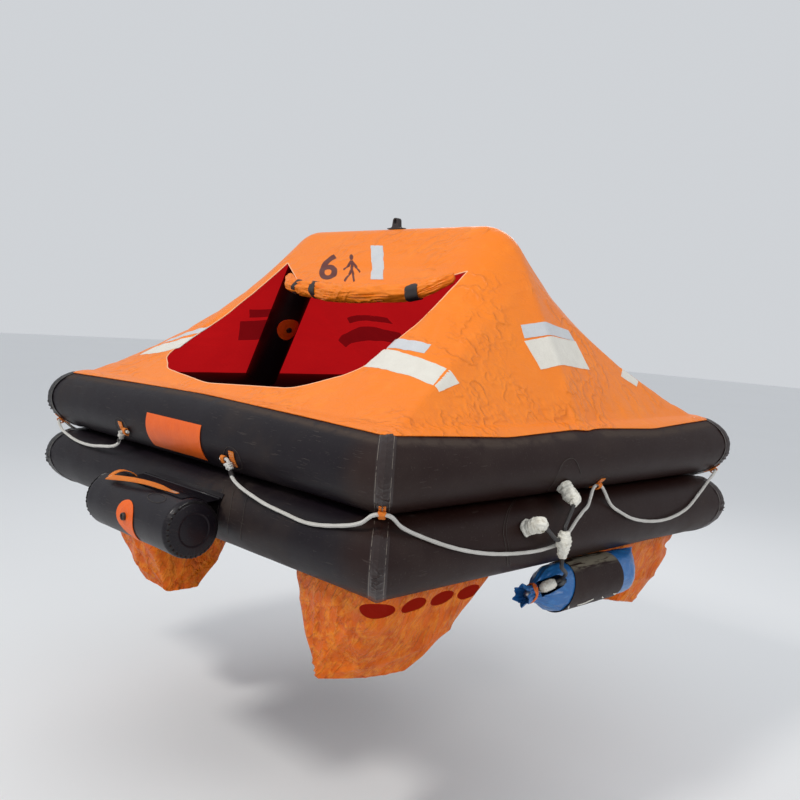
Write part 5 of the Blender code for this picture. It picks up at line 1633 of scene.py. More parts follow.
def lifeline_route():
    """The route's points, and the start and direction of its straight run at each end."""
    threaded = []
    for _, *place in LOOPS:
        centre, outward = slot_centre(*place)
        threaded.append((centre, UP.cross(outward.normalized())))
    hangs = [HANG_FRONT_RIGHT, HANG_BY_BOTTLE, HANG_SIDE, HANG_SHORT, HANG_SHORT]
    hangs += [HANG_SHORT, other_way(HANG_SIDE), other_way(HANG_BY_BOTTLE), HANG_FRONT_LEFT]
    run_out, run_down = END_RUN
    route = []
    ends = []
    for number, ((start, start_dir), (end, end_dir)) in enumerate(zip(threaded, threaded[1:])):
        leave = start + start_dir * LOOP_RUN
        arrive = end - end_dir * LOOP_RUN
        route += [start - start_dir * LOOP_RUN, leave]
        if number == 0:
            leave = leave + Vector((run_out, 0, run_down))
            route.append(leave)
            ends.append((route[-2], (leave - route[-2]).normalized()))
        if number == len(hangs) - 1:
            arrive = arrive + Vector((-run_out, 0, run_down))
        for share, height in hangs[number]:
            point = leave.lerp(arrive, share)
            point.z = height
            route.append(clear_of_lower_tube(point))
        if number == len(hangs) - 1:
            route.append(arrive)
            start_last = end - end_dir * LOOP_RUN
            ends.append((start_last, (arrive - start_last).normalized()))
    end, end_dir = threaded[-1]
    route += [end - end_dir * LOOP_RUN, end + end_dir * LOOP_RUN]
    return route, ends


lifeline_points, lifeline_ends = lifeline_route()
rope_line = smooth_route(lifeline_points, 0.0040)
rope_length = length_of(rope_line)


def braided_radius(share, angles):
    along = share * rope_length / BRAID_PITCH
    turn = 4 * angles / tau
    braid = np.sin((along + turn) * tau) * np.sin((along - turn) * tau)
    return ROPE_R + 0.00045 * braid


rope_rings = sweep(rope_line, braided_radius, 16)
fasten(add_tube("lifeline_rope", rope_rings, white_rope, 80), "rope", "lifeline")

LOOP_HALF = 0.0125
LOOP_THICK = 0.0021
LOOP_TAB = 0.24
LOOP_GLUE_R = 0.043
LOOP_ROUND = 44
TAB_STEPS = 26


def build_loop(name, side, start, angle):
    """A webbing tab glued on the tube, and a narrower loop sewn to it that the rope runs through."""
    centre_of_slot, outward = slot_centre(side, start, angle)
    places = []
    for step in range(TAB_STEPS + 1):
        turn = angle - LOOP_TAB + 2 * LOOP_TAB * step / TAB_STEPS
        spots = [start + away for away in (-LOOP_HALF, 0, LOOP_HALF)]
        skin = [Vector(ring_point(side, spot, turn, UPPER_Z, 0.0006)) for spot in spots]
        crease = 0.0007 * sin(step * 1.7)
        centre = skin[1] if start else (skin[0] + skin[2]) / 2 + (skin[1] - (skin[0] + skin[2]) / 2) * 0.8
        across = (skin[2] - skin[0]) / (2 * LOOP_HALF)
        ahead = Vector(ring_point(side, start, turn + 0.05, UPPER_Z, 0.0006))
        out = across.cross(ahead - skin[1]).normalized()
        if out.dot(outward) < -0.05:
            out = -out
        places.append((centre + out * crease, out, across))
    tab = strap(f"loop_tab_{name}", places, LOOP_HALF, orange_webbing, thick=LOOP_THICK)
    fasten(tab, "webbing", f"loop_{name}")
    across = outward.normalized()
    along = UP.cross(across)
    normal = across * sin(angle) + Vector((0, 0, cos(angle)))
    rise = across * cos(angle) - Vector((0, 0, sin(angle)))
    ring = []
    for turn in round_angles(LOOP_ROUND):
        ease = copysign(abs(sin(turn)) ** 0.6, sin(turn))
        reach = normal * cos(turn) * (LOOP_SLOT[0] + 0.0002) + rise * ease * (LOOP_SLOT[1] / 2)
        out = (normal * cos(turn) + rise * sin(turn)).normalized()
        gathered = 1 - 0.28 * max(cos(turn), 0)
        ring.append((centre_of_slot + reach + normal * 0.0002, out, along * gathered))
    loop = strap(f"loop_ring_{name}", ring, LOOP_HALF * 0.92, orange_webbing, closed=True, thick=LOOP_THICK)
    fasten(loop, "webbing")
    rows = []
    for way in (-1, 1):
        for away in (-0.008, 0.0, 0.008):
            turns = (angle + way * 0.11, angle + way * 0.2)
            rows.append([ring_point(side, start + away, turn, UPPER_Z, 0.0034) for turn in turns])
    loop_look = {"Spacing": 0.004, "Length": 0.0032, "Seed": 7, **stitch_look}
    fasten(stitches.run(f"loop_stitches_{name}", rows, pale_thread, **loop_look), "webbing")
    glue = []
    for turn in (tau * share for share in even_shares(48)):
        wander = LOOP_GLUE_R * (1 + 0.06 * noise.noise(Vector((cos(turn), sin(turn), start)) * 1.5))
        glue_angle = angle + wander * sin(turn) / TUBE_R
        glue.append(ring_point(side, start + wander * cos(turn), glue_angle, UPPER_Z, 0.0007))
    if start:
        glue_look = {"Radius": 0.0006, "Step": 0.005, "Sides": 6}
        fasten(cord.run(f"loop_glue_{name}", [glue], glue_stain, **glue_look), "webbing")


for loop_row in LOOPS:
    build_loop(*loop_row)


def winding(start, along, first, last, reach, pitch, per_turn=20):
    """A helix round the rope's straight run."""
    side = along.orthogonal().normalized()
    other = along.cross(side)
    turns = (last - first) / pitch
    count = max(8, round(turns * per_turn))
    path = []
    for step in range(count + 1):
        turn = tau * turns * step / count
        place = first + (last - first) * step / count
        path.append(start + along * place + (side * cos(turn) + other * sin(turn)) * reach)
    return path


KNOT_PLACE = 0.020
KNOT_HALF = 0.0105
KNOT_REACH = 0.0088
KNOT_PITCH = 0.0078
KNOT_CORD_R = 0.0040
WHIPPING_PLACE = 0.044
WHIPPING_HALF = 0.0085

for end_name, (end_start, end_along) in zip(("right", "left"), lifeline_ends):
    knot_ends = (KNOT_PLACE - KNOT_HALF, KNOT_PLACE + KNOT_HALF)
    knot_line = winding(end_start, end_along, *knot_ends, KNOT_REACH, KNOT_PITCH)
    crossing = end_along.orthogonal().normalized()
    knot_line += [knot_line[-1] + crossing * 0.003 - end_along * 0.009, knot_line[0] + crossing * 0.0045]
    knot_path = smooth_route(knot_line, 0.0025)
    knot_rings = sweep(knot_path, lambda share, angles: 0 * angles + KNOT_CORD_R, 18)
    knot = add_tube(f"rope_knot_{end_name}", knot_rings, white_rope, 80)
    fasten(facing_out(knot), "rope", f"lifeline_knot_{end_name}")
    whipping_ends = (WHIPPING_PLACE - WHIPPING_HALF, WHIPPING_PLACE + WHIPPING_HALF)
    thread_line = winding(end_start, end_along, *whipping_ends, 0.0074, 0.00145)
    thread_look = {"Radius": 0.00085, "Step": 0.0016, "Sides": 8}
    thread = cord.run(f"rope_whipping_{end_name}", [thread_line], black_webbing, **thread_look)
    fasten(thread, "black_trim", f"lifeline_whipping_{end_name}")
    core_start, core_end = whipping_ends
    core_profile = [(0.0057, core_start), (0.0072, core_start), (0.0072, core_end), (0.0057, core_end)]
    core = turned(f"rope_whipping_core_{end_name}", core_profile, black_webbing, end_start, end_along, 24)
    fasten(core, "black_trim")

# Gas bottle.
# A steel gas bottle in a blue bag under the +X side. The bag's mouth is gathered and tied with orange cord,
# its far end is sewn flat, and a black sleeve laced with white cord wraps it.
BOTTLE_X = HALF_X + 0.05
POUCH_SKIN = 0.0022
SLEEVE_R = 0.0835
SLEEVE_FACE = SLEEVE_R - 0.0008
SLEEVE_IN = 0.0806
BOTTLE_Z = LOWER_Z - sqrt((TUBE_R + SLEEVE_R + 0.0012) ** 2 - (BOTTLE_X - HALF_X) ** 2)
POUCH_LINE = (
    (-0.250, 0.0335), (-0.242, 0.0320), (-0.230, 0.0285), (-0.216, 0.0255), (-0.205, 0.0240),
    (-0.194, 0.0255), (-0.182, 0.0310), (-0.168, 0.0400), (-0.150, 0.0530), (-0.125, 0.0685),
    (-0.095, 0.0785), (-0.080, 0.0790), (0.300, 0.0790), (0.398, 0.0790),
)
POUCH_MOST = 0.0792
POUCH_END = 0.398
NECK_Y = -0.205
NECK_TURNS = 3
NECK_STEPS = 96
NECK_PITCH = 0.0042
POUCH_ROUND = 124
SEAM_FROM = 0.29
BOTTLE_BACK = 0.22
OPENING_R = 0.0262
SLEEVE_Y = (-0.09, 0.225)
SLEEVE_SLANT = 0.055
SLEEVE_ROUND = 120
SLEEVE_COLUMNS = 46
LACING_ANGLE = 128
COUPLING_LENGTH = 0.058
VALVE_STEM_R = 0.0115
COUPLING_TIP_R = 0.012
COUPLING_Y = -0.19
COUPLING_TURN = (0.61, 0.61, 0.51)

blue_fabric = Finish("blue bag fabric", 0.30, Coat_Weight=0.3, Coat_Roughness=0.25)
blue_slant = blue_fabric.stretched(blue_fabric.place(), (40, 14, 40))
blue_crush_and_highlight = blue_fabric.noise(blue_slant, 1.0, 4.0, 0.6, 0.5)
blue_fabric.clouded(14.0, (0.022, 0.165, 0.46), (0.012, 0.095, 0.30), 4.0, 0.6)
# Lighter blue on the raised crumples: a painted highlight.
blue_fabric.overlaid(blue_crush_and_highlight.above(0.6, 0.1) * 0.35, (0.06, 0.28, 0.62))
blue_fabric.relief(blue_crush_and_highlight, 0.005)
sleeve_fabric = tube_fabric("black sleeve fabric", (0.016, 0.014, 0.014), 0.5)
sleeve_place = sleeve_fabric.place()
_, _, sleeve_height = sleeve_fabric.split(sleeve_place)
sleeve_streaks = sleeve_fabric.noise(sleeve_fabric.stretched(sleeve_place, (60, 9, 60)), 1.0, 4.0, 0.65)
sleeve_dust = sleeve_height.above(BOTTLE_Z - EYE_HEIGHT + 0.066, 0.010) * sleeve_streaks.above(0.47, 0.06)
sleeve_fabric.overlaid(sleeve_dust * 0.75, (0.24, 0.215, 0.16))
bottle_steel = Finish("plain steel", 0.35, Metallic=1.0)
bottle_steel.clouded(20.0, (0.45, 0.46, 0.47), (0.36, 0.37, 0.38))
orange_cord = Finish("orange cord", 0.6)
orange_cord.clouded(120.0, (0.816, 0.189, 0.015), (0.60, 0.11, 0.02))
white_cord = Finish("white lacing", 0.7)
white_cord.clouded(120.0, (0.84, 0.82, 0.75), (0.62, 0.59, 0.52))


def round_bottle(y, angle, reach):
    """A point about the bottle's axis, at an angle from straight up towards +X."""
    return Vector((BOTTLE_X + reach * sin(angle), y, BOTTLE_Z + reach * cos(angle)))


def build_pouch():
    line = smooth_route([Vector((y, radius, 0)) for y, radius in POUCH_LINE], 0.0042)
    angles = round_angles(POUCH_ROUND)
    grid = []
    for spot in line:
        y, radius = spot.x, min(spot.y, POUCH_MOST)
        neck = hill(y, NECK_Y, 0.085)
        dome = hill(y, -0.135, 0.07)
        mouth = np.clip((-0.222 - y) / 0.028, 0, 1)
        wander = 0.5 * sin(y * 60)
        pleats = np.cos(angles * 12 + wander) * 0.6 + np.cos(angles * 19 - 2 * wander + 1) * 0.4
        ruffle = np.cos(angles * 6 + 0.8) + 0.5 * np.cos(angles * 10 + 2)
        wrinkle = [uneven(y * 26, 2.2 * cos(a), 2.2 * sin(a)) for a in angles]
        slack = hill(y, -0.115, 0.06) + hill(y, 0.33, 0.10)
        reach = radius + 0.0030 * neck * pleats + 0.0026 * dome * (pleats - 0.7) + mouth * 0.0042 * ruffle
        reach = reach - 0.0045 * slack * np.abs(np.array(wrinkle))
        flat = np.clip((y - SEAM_FROM) / (POUCH_END - SEAM_FROM), 0, 1)
        squeeze = 1 - 0.965 * flat**1.7
        ripple = 0.004 * flat * np.cos(angles * 2 + 1) * np.sin(y * 150)
        edge = y + mouth * (0.0050 * np.cos(angles * 5 + 1) - 0.001)
        x = BOTTLE_X + reach * np.sin(angles) * squeeze + ripple * (1 - flat * 0.6)
        z = BOTTLE_Z + reach * np.cos(angles)
        grid.append(np.stack([x, np.broadcast_to(edge, x.shape), z], axis=1))
    pouch = facing_out(add_grid("bottle_bag", grid, [blue_fabric], round_closed=True, caps="last"))
    start, out = coupling_line()

    def near_coupling(point, most):
        """The way to the point from the coupling's axis, where the point is near enough to it."""
        offset = point + BELOW - start
        ahead = offset.dot(out)
        aside = offset - out * ahead
        return aside if ahead > -0.006 and aside.length < most else None

    with opened(pouch.data) as bm:
        heart = round_bottle(0.1, 0, 0) - BELOW
        if sum(face.normal.dot(face.calc_center_median() - heart) for face in bm.faces) < 0:
            bmesh.ops.reverse_faces(bm, faces=bm.faces)
        gone = [face for face in bm.faces if near_coupling(face.calc_center_median(), OPENING_R)]
        bmesh.ops.delete(bm, geom=gone, context="FACES")
        for edge in bm.edges:
            for vert in edge.verts if edge.is_boundary else ():
                aside = near_coupling(vert.co, OPENING_R + 0.008)
                if aside:
                    vert.co += aside.normalized() * (OPENING_R - aside.length)
    solid = pouch.modifiers.new("Skin", "SOLIDIFY")
    solid.thickness = POUCH_SKIN
    solid.offset = -1
    bake(pouch)
    pouch.data.set_sharp_from_angle(angle=radians(50))
    return fasten(pouch, "pouch_fabric", "bottle_pouch")


def coupling_line():
    """Where the hose coupling starts, beside the bottle's valve stem, and which way it points."""
    out = Vector(COUPLING_TURN).normalized()
    clear = VALVE_STEM_R + SEAT + COUPLING_TIP_R * out.y
    return Vector((BOTTLE_X, COUPLING_Y, BOTTLE_Z)) + out * clear / hypot(out.x, out.z), out


bottle_bag = build_pouch()
steel = bare_copy("gas_bottle", "gas_bottle_steel", [bottle_steel])
for steel_vertex in steel.data.vertices:
    past = steel_vertex.co.y - BOTTLE_BACK
    if past > 0:
        steel_vertex.co.y = BOTTLE_BACK + past * 0.35
        steel_vertex.co.x = BOTTLE_X + (steel_vertex.co.x - BOTTLE_X) * (1 - 0.3 * past / 0.12)
fasten(steel, "bottle_steel", "gas_bottle")
tie_turns = []
for turn_step in range(NECK_TURNS * NECK_STEPS):
    tie_turn = tau * turn_step / NECK_STEPS
    lean = 0.011 * cos(tie_turn + 0.5) + NECK_PITCH * (turn_step / NECK_STEPS - 1)
    reach = 0.0278 + 0.0006 * sin(5 * tie_turn)
    tie_turns.append(round_bottle(NECK_Y + lean, tie_turn, reach + 0.10 * abs(lean)))
neck_cord = cord.run("bag_neck_cord", [tie_turns], orange_cord, Radius=0.0023, Step=0.003, Sides=8)
fasten(neck_cord, "pouch_fabric")
TAIL_LINE = ((-0.222, 0.5, 0.040), (-0.236, 0.9, 0.047), (-0.225, 1.5, 0.043))
tail = smooth_route([tie_turns[-1], *(round_bottle(*place) for place in TAIL_LINE)], 0.003)
neck_tail = cord.run("bag_cord_end", [tail], orange_cord, Radius=0.0021, Step=0.003, Sides=8)
fasten(neck_tail, "pouch_fabric")


def build_sleeve():
    grid = []
    for angle in round_angles(SLEEVE_ROUND):
        front = SLEEVE_Y[0] + SLEEVE_SLANT * (0.5 + 0.5 * cos(angle)) ** 2
        line = []
        for column in range(SLEEVE_COLUMNS + 1):
            y = front + (SLEEVE_Y[1] - front) * column / SLEEVE_COLUMNS
            bump = 0.0007 * uneven(y * 22, 2 * cos(angle), 2 * sin(angle))
            line.append(tuple(round_bottle(y, angle, SLEEVE_FACE + bump)))
        back = [tuple(round_bottle(y, angle, SLEEVE_IN)) for y in (SLEEVE_Y[1], front)]
        grid.append(line + back)
    return add_grid("bottle_wrap", grid, [sleeve_fabric], along_closed=True, round_closed=True, smooth=40)


bottle_sleeve = fasten(facing_out(build_sleeve()), "black_trim", "bottle_sleeve")
LACES = ((-0.083, -0.072, 6), (-0.022, 0.062, -3), (0.118, 0.132, 4), (0.190, 0.214, 3))
lacing = []
for lace_from, lace_to, lace_lean in LACES:
    lace_line = []
    for lace_share in even_shares(8):
        lace_angle = radians(LACING_ANGLE + lace_lean * (2 * lace_share - 1) + 1.5 * sin(5 * lace_share))
        rise = 0.0016 * sin(pi * lace_share)
        lace_y = lace_from + (lace_to - lace_from) * lace_share
        lace_line.append(round_bottle(lace_y, lace_angle, SLEEVE_FACE + rise))
    lacing.append(lace_line)
lacing_cord = cord.run("bottle_lacing", lacing, white_cord, Radius=0.0021, Step=0.003, Sides=8)
fasten(lacing_cord, "black_trim")

# Inflation hoses.
# A fitting on each tube and the branch between them are bound in white tape, as is the coupling at the
# bottle. Short black hoses join them. Loops of dried glue show where the fittings were stuck on.
FITTING_LENGTH = 0.052
FITTING_EASE = 0.0006
FITTINGS = (("upper", -0.135, radians(130), UPPER_Z), ("lower", -0.34, radians(67), LOWER_Z))
FITTING_RADII = (
    (0.0, 0.0265), (0.05, 0.0275), (0.14, 0.0245), (0.30, 0.0250), (0.50, 0.0262), (0.70, 0.0235),
    (0.86, 0.0175), (0.96, 0.0120), (1.0, 0.0090),
)
FITTING_HOOD = 0.034
JUNCTION = (HALF_X + TUBE_R + 0.045, -0.21, -0.130)
JUNCTION_HALF = 0.045
JUNCTION_R = 0.026
BRANCH_PROFILE = (
    (0.0002, 0.0450), (0.0140, 0.0440), (0.0180, 0.0380), (0.0215, 0.0290), (0.0250, 0.0150),
    (0.0240, 0.0000), (0.0190, -0.0150), (0.0160, -0.0320), (0.0130, -0.0430), (0.0002, -0.0450),
)
COUPLING_PROFILE = (
    (0.0002, 0.0), (0.0110, 0.0005), (0.0160, 0.0100), (0.0175, 0.0150), (0.0175, 0.0450), (0.0150, 0.0500),
    (0.0115, 0.0575), (0.0002, 0.0580),
)
HOSE_R = 0.007
HOSE_LEAD = 0.01
HOSE_BIGHT = (1.077, -0.165, -0.232)

white_tape = Finish("white wound tape", 0.55)
white_tape.clouded(26.0, (0.88, 0.87, 0.80), (0.66, 0.63, 0.54), 4.0)
tape_grime = white_tape.noise(white_tape.place(), 70.0, 4.0).above(0.60, 0.08)
white_tape.overlaid(tape_grime * 0.5, (0.40, 0.35, 0.26))
white_tape.grain(130.0, 0.0022, 4.0)


def tape_turns(angles, seed, turns, height, girth, ridge, lumps, fine):
    """How far the tape stands out at each angle: overlapping turns with a raised edge, and lumps."""
    turns = turns + angles / tau + 0.25 * np.sin(angles * 2 + seed)
    step = turns - np.floor(turns)
    edge = ridge * (step - 0.5) * (1 - bell(step, 1, 0.05))
    spots = [Vector((cos(a) * girth + seed, sin(a) * girth, height)) for a in angles]
    lump = np.array([noise.noise(spot) for spot in spots]) * lumps
    return edge + lump - np.array([abs(noise.noise(spot * 2.6)) for spot in spots]) * fine


def wound(name, node, origin, direction, profile, seed, lead, ridge, lumps):
    """Tape wound round a form in overlapping, lumpy turns."""

    def dent(angles, along, radius):
        tape = tape_turns(angles, seed, along / lead, along * 75, 1.6, ridge, lumps, 0.0016)
        return tape * min(radius / 0.012, 1)

    piece = turned(name, profile, white_tape, origin, direction, 96, dent, 0.0009, smooth=70)
    return fasten(piece, "tape", node)


def hood(name, node, path, radii, seed):
    """Tape wound round a fitting and over the start of its hose."""
    length = length_of(path)

    def radius_at(share, angles):
        tape = tape_turns(angles, seed, share * length / 0.0115, share * 5.5, 1.5, 0.0022, 0.0042, 0.0022)
        return np.interp(share, *zip(*radii)) + tape

    return fasten(facing_out(add_tube(name, sweep(path, radius_at, 96), white_tape, 70)), "tape", node)


branch = Vector(JUNCTION)
forward = Vector((0, 1, 0))
branch_top = branch + UP * (JUNCTION_HALF + SEAT)
branch_side = branch + UP * 0.02 - forward * (JUNCTION_R + SEAT)
branch_bottom = branch - UP * (JUNCTION_HALF + SEAT)
entries = {"upper": (branch_top, UP), "lower": (branch_side, -forward)}
hose_routes = {}
for fitting_number, (fitting_name, fitting_y, fitting_angle, fitting_z) in enumerate(FITTINGS):
    fitting_out = Vector((sin(fitting_angle), 0, cos(fitting_angle)))
    fitting_base = Vector((HALF_X, fitting_y, fitting_z)) + fitting_out * (TUBE_R + SEAT + FITTING_EASE)
    fitting_tip = fitting_base + fitting_out * (FITTING_LENGTH + SEAT)
    entry, entry_out = entries[fitting_name]
    route = [fitting_tip, fitting_tip + fitting_out * HOSE_LEAD, entry + entry_out * HOSE_LEAD, entry]
    hose_routes[f"hose_{fitting_name}"] = route
    start = smooth_route(route, 0.002)
    hooded = [fitting_base, fitting_base.lerp(fitting_tip, 0.5), *start[: round(FITTING_HOOD / 0.002)]]
    tape_path = smooth_route(hooded, 0.0011)
    node_name = f"fitting_{fitting_name}"
    hood(f"{node_name}_tape", node_name, tape_path, FITTING_RADII, 3 + 5 * fitting_number)
wound("hose_branch_tape", "hose_branch", branch, (0, 0, 1), BRANCH_PROFILE, 11, 0.013, 0.0030, 0.0030)
coupling_start, coupling_out = coupling_line()
coupling_look = (COUPLING_PROFILE, 17, 0.0072, 0.0022, 0.0008)
wound("hose_coupling_tape", "hose_coupling", coupling_start, coupling_out, *coupling_look)

black_hose = Finish("black hose", 0.4)
black_hose.clouded(40.0, (0.014, 0.012, 0.012), (0.028, 0.024, 0.023))
black_hose.grain(400.0, 0.0005, 2.0)
coupling_entry = coupling_start + coupling_out * (COUPLING_LENGTH + SEAT)
hose_routes["hose_bottle"] = [
    branch_bottom,
    branch_bottom - UP * HOSE_LEAD,
    branch_bottom - UP * 2.5 * HOSE_LEAD,
    Vector(HOSE_BIGHT),
    coupling_entry + coupling_out * 2 * HOSE_LEAD,
    coupling_entry + coupling_out * HOSE_LEAD,
    coupling_entry,
]
for hose_name, hose_route in hose_routes.items():
    hose_line = smooth_route(hose_route, 0.003)
    hose_look = {"Radius": HOSE_R - 0.0002, "Step": 0.003, "Sides": 24}
    fasten(cord.run(f"{hose_name}_rubber", [hose_line], black_hose, **hose_look), "black_trim", hose_name)

UPPER_GLUE = (
    (0.965, -0.175, 0.012), (1.02, -0.205, 0.055), (1.044, -0.190, 0.120), (1.044, -0.135, 0.135),
    (1.037, -0.069, 0.078),
)
LOWER_GLUE = (
    (0.951, -0.300, -0.004), (1.005, -0.400, -0.028), (1.040, -0.450, -0.075), (1.044, -0.425, -0.160),
    (1.030, -0.400, -0.190),
)
side_centre = (HALF_X, 0)
glue_line("upper_fitting_glue", side_centre, UPPER_Z, UPPER_GLUE)
glue_line("lower_fitting_glue", side_centre, LOWER_Z, LOWER_GLUE)
inner_glue = [(x - 0.003, y + 0.014, z) for x, y, z in LOWER_GLUE]
glue_line("lower_fitting_glue_inner", side_centre, LOWER_Z, inner_glue, 0.0005)

# Pockets.
# Four water ballast bags of the same orange fabric, red inside, sewn under the lower tube. They hang limp,
# crumpled and creased, and water drains through round holes in their outer walls.
POCKET_SKIN = 0.0020
POCKET_EDGE_R = 0.04
POCKET_CORNER_R = 0.07
POCKET_LEVELS = ((0.0, 0.0), (0.05, 0.0), (0.3, 0.22), (0.6, 0.52), (0.85, 0.82), (1.0, 1.0))
POCKET_HOLE_HALF = (0.045, 0.052, 0.025)
POCKET_HOLE_DROP = 0.052
POCKET_HOLES = (0.16, 0.285, 0.405)
POCKET_HOLE_MARGIN = 0.07
POCKET_WALL_LEAN = 0.01
POCKET_CORNER_HOLE = 0.03
POCKET_ROWS = 44
POCKET_STEP = 0.0095
POCKETS = (
    (
        "front_right", (1, -1), 0, ((0.53, HALF_X), (0.34, HALF_Y)),
        ((0.68, 0.62, -0.575), (0.81, 0.555, -0.548), (0.745, 0.715, -0.565), (0.585, 0.80, -0.60)),
    ),
    (
        "back_right", (1, 1), 1, ((0.53, HALF_X), (0.43, HALF_Y)),
        ((0.70, 0.58, -0.54), (0.81, 0.59, -0.525), (0.82, 0.73, -0.555), (0.71, 0.72, -0.56)),
    ),
    (
        "back_left", (-1, 1), 1, ((0.53, HALF_X), (0.43, HALF_Y)),
        ((0.68, 0.60, -0.57), (0.80, 0.58, -0.55), (0.78, 0.74, -0.57), (0.65, 0.76, -0.585)),
    ),
    (
        "front_left", (-1, -1), 0, ((0.41, 0.79), (0.34, HALF_Y)),
        ((0.42, 0.58, -0.60), (0.56, 0.58, -0.60), (0.63, 0.73, -0.585), (0.46, 0.70, -0.615)),
    ),
)

pocket_fabric = Finish("orange bag fabric", Specular_IOR_Level=0.10, Coat_Weight=0.14, Coat_Roughness=0.10)
pocket_place = pocket_fabric.place()
pocket_cloud = pocket_fabric.noise(pocket_place, 7.0, 4.0, 0.6)
pocket_crush_and_highlight = pocket_fabric.noise(pocket_place, 26.0, 5.0, 0.62, 0.6)
pocket_fan_and_shade = pocket_fabric.folds(pocket_place, 2.2, 9.0, (0, 0.8, 0.5), 3.0)
pocket_crinkle_and_highlight = pocket_fabric.folds(pocket_place, 9.0, 34.0, (0.4, 1.0, 0.2), 3.0)
pocket_fabric.clouded(7.0, (0.80, 0.165, 0.004), (0.62, 0.088, 0.002), 4.0, 0.6)
# Painted light: lighter orange on the raised crumples and crinkles, painted highlights, and darker orange in
# the sunk fan folds, painted shade.
pocket_fabric.overlaid(pocket_crush_and_highlight.above(0.6, 0.1) * 0.4, (0.90, 0.25, 0.012))
pocket_fabric.overlaid(pocket_fan_and_shade * 0.45, (0.44, 0.052, 0.001))
pocket_fabric.overlaid(pocket_crinkle_and_highlight * pocket_crush_and_highlight.above(0.47, 0.08) * 0.45, (0.96, 0.34, 0.03))
pocket_fabric.set("Roughness", 0.24 + pocket_cloud * 0.22)
pocket_fabric.relief(pocket_crush_and_highlight * 0.5 + pocket_crinkle_and_highlight * 0.35 - pocket_fan_and_shade * 0.5, 0.012)

# The bag lining glows: painted light, standing in for daylight through the bag's fabric.
pocket_lining = Finish("red bag lining", 0.5, Emission_Strength=0.30)
pocket_lining.clouded(9.0, (0.52, 0.030, 0.012), (0.38, 0.016, 0.008), painted_glow=True)
pocket_lining.grain(30.0, 0.004)


def drain_places(spans, wall):
    """Place and turn of the drain holes along one outer wall and round its corner, in the first quadrant."""
    (inner, outer) = spans[1 - wall]
    plane = spans[wall][1]
    places = []
    for away in POCKET_HOLES:
        if outer - away > inner + POCKET_HOLE_MARGIN:
            spot = (plane - POCKET_WALL_LEAN, outer - away)
            places.append((*(spot if wall == 0 else spot[::-1]), 90 * wall))
    corner = [span[1] - POCKET_CORNER_HOLE for span in spans]
    return [*places, (*corner, 45)]


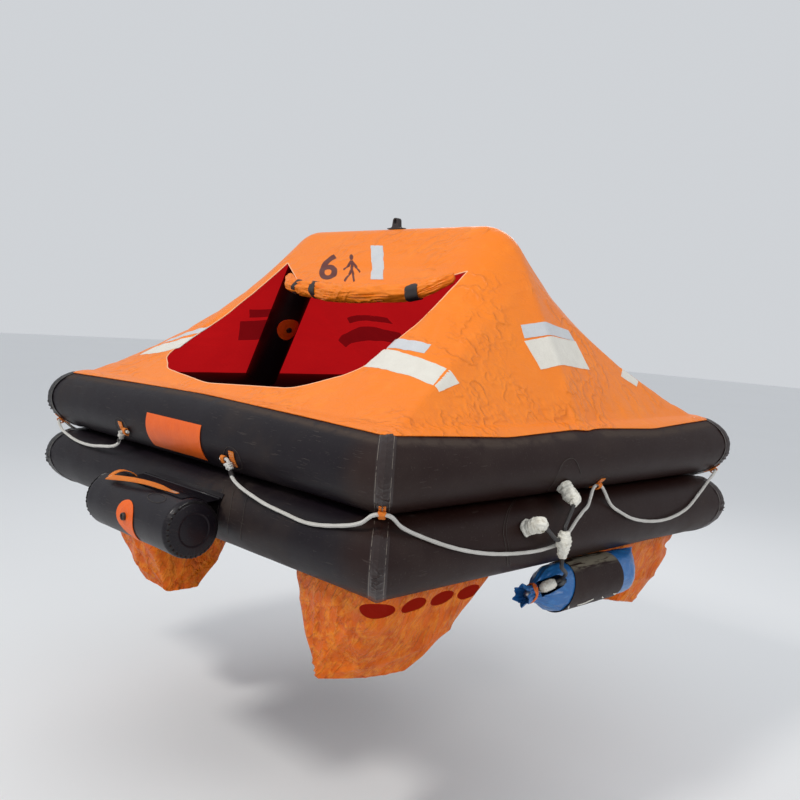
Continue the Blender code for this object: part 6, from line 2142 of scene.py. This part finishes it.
def build_pocket(name, signs, wall, spans, foot, seed):
    (inner_x, outer_x), (inner_y, outer_y) = spans
    top_z = TUBE_BOTTOM + 0.001
    top = ((inner_x, inner_y), (outer_x, inner_y), (outer_x, outer_y), (inner_x, outer_y))

    def ring(depth, taper):
        corners = []
        for index, ((x, y), low) in enumerate(zip(top, foot)):
            point = (x + (low[0] - x) * taper, y + (low[1] - y) * taper, top_z + (low[2] - top_z) * depth)
            corners.append((point, (POCKET_CORNER_R if index == 2 else POCKET_EDGE_R) * (1 - 0.6 * taper)))
        loop = [Vector((signs[0] * x, signs[1] * y, z)) for x, y, z in rounded_loop(corners, 6)]
        return loop + loop[:1]

    widest = shares_along(ring(0, 0))
    count = round(length_of(ring(0, 0)) / POCKET_STEP)
    grid = []
    for row in range(POCKET_ROWS + 1):
        depth = row / POCKET_ROWS
        taper = np.interp(depth, *zip(*POCKET_LEVELS))
        loop = ring(depth, taper)
        marks = np.interp(np.arange(count) / count, widest, shares_along(loop))
        grid.append([tuple(point) for point in points_at(loop, marks.tolist())])
    grid = np.array(grid)
    centre = grid.mean(axis=1, keepdims=True)
    out = (grid - centre) * (1, 1, 0)
    out /= np.maximum(np.linalg.norm(out, axis=2, keepdims=True), 1e-6)
    depths = (np.arange(POCKET_ROWS + 1) / POCKET_ROWS)[:, None]
    loose = np.clip(depths * 5, 0, 1) * (1 - 0.35 * depths)
    turn = (np.arange(count) / count)[None, :]
    flutes = np.sin(turn * tau * 17 + 5 * depths + seed) * 0.35
    flutes = flutes + np.sin(turn * tau * 9 - 7 * depths) * 0.5
    crumple = 1 - np.abs(rough(grid, 11.0, seed)) * 2
    sharp = 1 - np.abs(rough(grid, 6.0, seed + 3, (1, 1, 0.55))) * 2
    ridges = 1 - np.abs(rough(grid, 1.0, seed + 8, (7.5, 7.5, 2.2))) * 2
    low = np.array((signs[0] * foot[3][0], signs[1] * foot[3][1], foot[3][2]))
    away = grid - low
    bearing = np.arctan2(away[..., 2], np.hypot(away[..., 0], away[..., 1]) * signs[0])
    fan = (1 - np.abs(np.sin(bearing * 7 + 0.4 * seed))) ** 3 * np.clip(depths * 2.5, 0, 1)
    bulge = 0.0110 * fan + 0.0040 * flutes * (0.4 + 0.6 * depths) + 0.0046 * crumple
    bulge = bulge + 0.0070 * sharp + 0.0085 * ridges
    grid = grid + out * (bulge * loose)[..., None]
    rows, columns = grid.shape[:2]
    finishes = [pocket_fabric, pocket_lining, pocket_fabric]
    bag = add_grid(f"pocket_bag_{name}", grid, finishes, round_closed=True)
    with opened(bag.data) as bm:
        bm.verts.ensure_lookup_table()
        last = [bm.verts[(rows - 1) * columns + column] for column in range(columns)]
        middle = bm.verts.new(sum((vert.co for vert in last), Vector()) / columns)
        inner = [bm.verts.new(vert.co.lerp(middle.co, 0.5)) for vert in last]
        for column in range(columns):
            after = (column + 1) % columns
            bm.faces.new((last[column], last[after], inner[after], inner[column]))
            bm.faces.new((inner[column], inner[after], middle))
        bmesh.ops.recalc_face_normals(bm, faces=bm.faces)
        heart = Vector(grid.mean(axis=(0, 1))) - BELOW
        if sum(face.normal.dot(face.calc_center_median() - heart) for face in bm.faces) < 0:
            bmesh.ops.reverse_faces(bm, faces=bm.faces)
        for face in bm.faces:
            face.smooth = True
    solid = bag.modifiers.new("Skin", "SOLIDIFY")
    solid.thickness = POCKET_SKIN
    solid.offset = -1
    solid.material_offset = 1
    solid.material_offset_rim = 2
    cutter = put(f"{name}_holes", bpy.data.meshes.new(f"{name}_holes"))
    drain_z = TUBE_BOTTOM - POCKET_HOLE_DROP - EYE_HEIGHT
    stretch = Matrix.Diagonal((*POCKET_HOLE_HALF, 1)) @ Matrix.Rotation(radians(90), 4, "Y")
    round_cut = {"cap_ends": True, "segments": 48, "radius1": 1, "radius2": 1, "depth": 2}
    with opened(cutter.data) as bm:
        for x, y, turn in drain_places(spans, wall):
            spin = Matrix.Rotation(radians(turn) * signs[0] * signs[1], 4, "Z")
            move = Matrix.Translation((signs[0] * x, signs[1] * y, drain_z))
            bmesh.ops.create_cone(bm, matrix=move @ spin @ stretch, **round_cut)
    cut = bag.modifiers.new("Drains", "BOOLEAN")
    cut.solver = "EXACT"
    cut.use_self = True
    cut.object = cutter
    bake(bag)
    bpy.data.objects.remove(cutter)
    bag.data.set_sharp_from_angle(angle=radians(40))
    return fasten(bag, "pocket_fabric", f"pocket_{name}")


for pocket_number, pocket in enumerate(POCKETS):
    build_pocket(*pocket, 2.7 * pocket_number + 1)
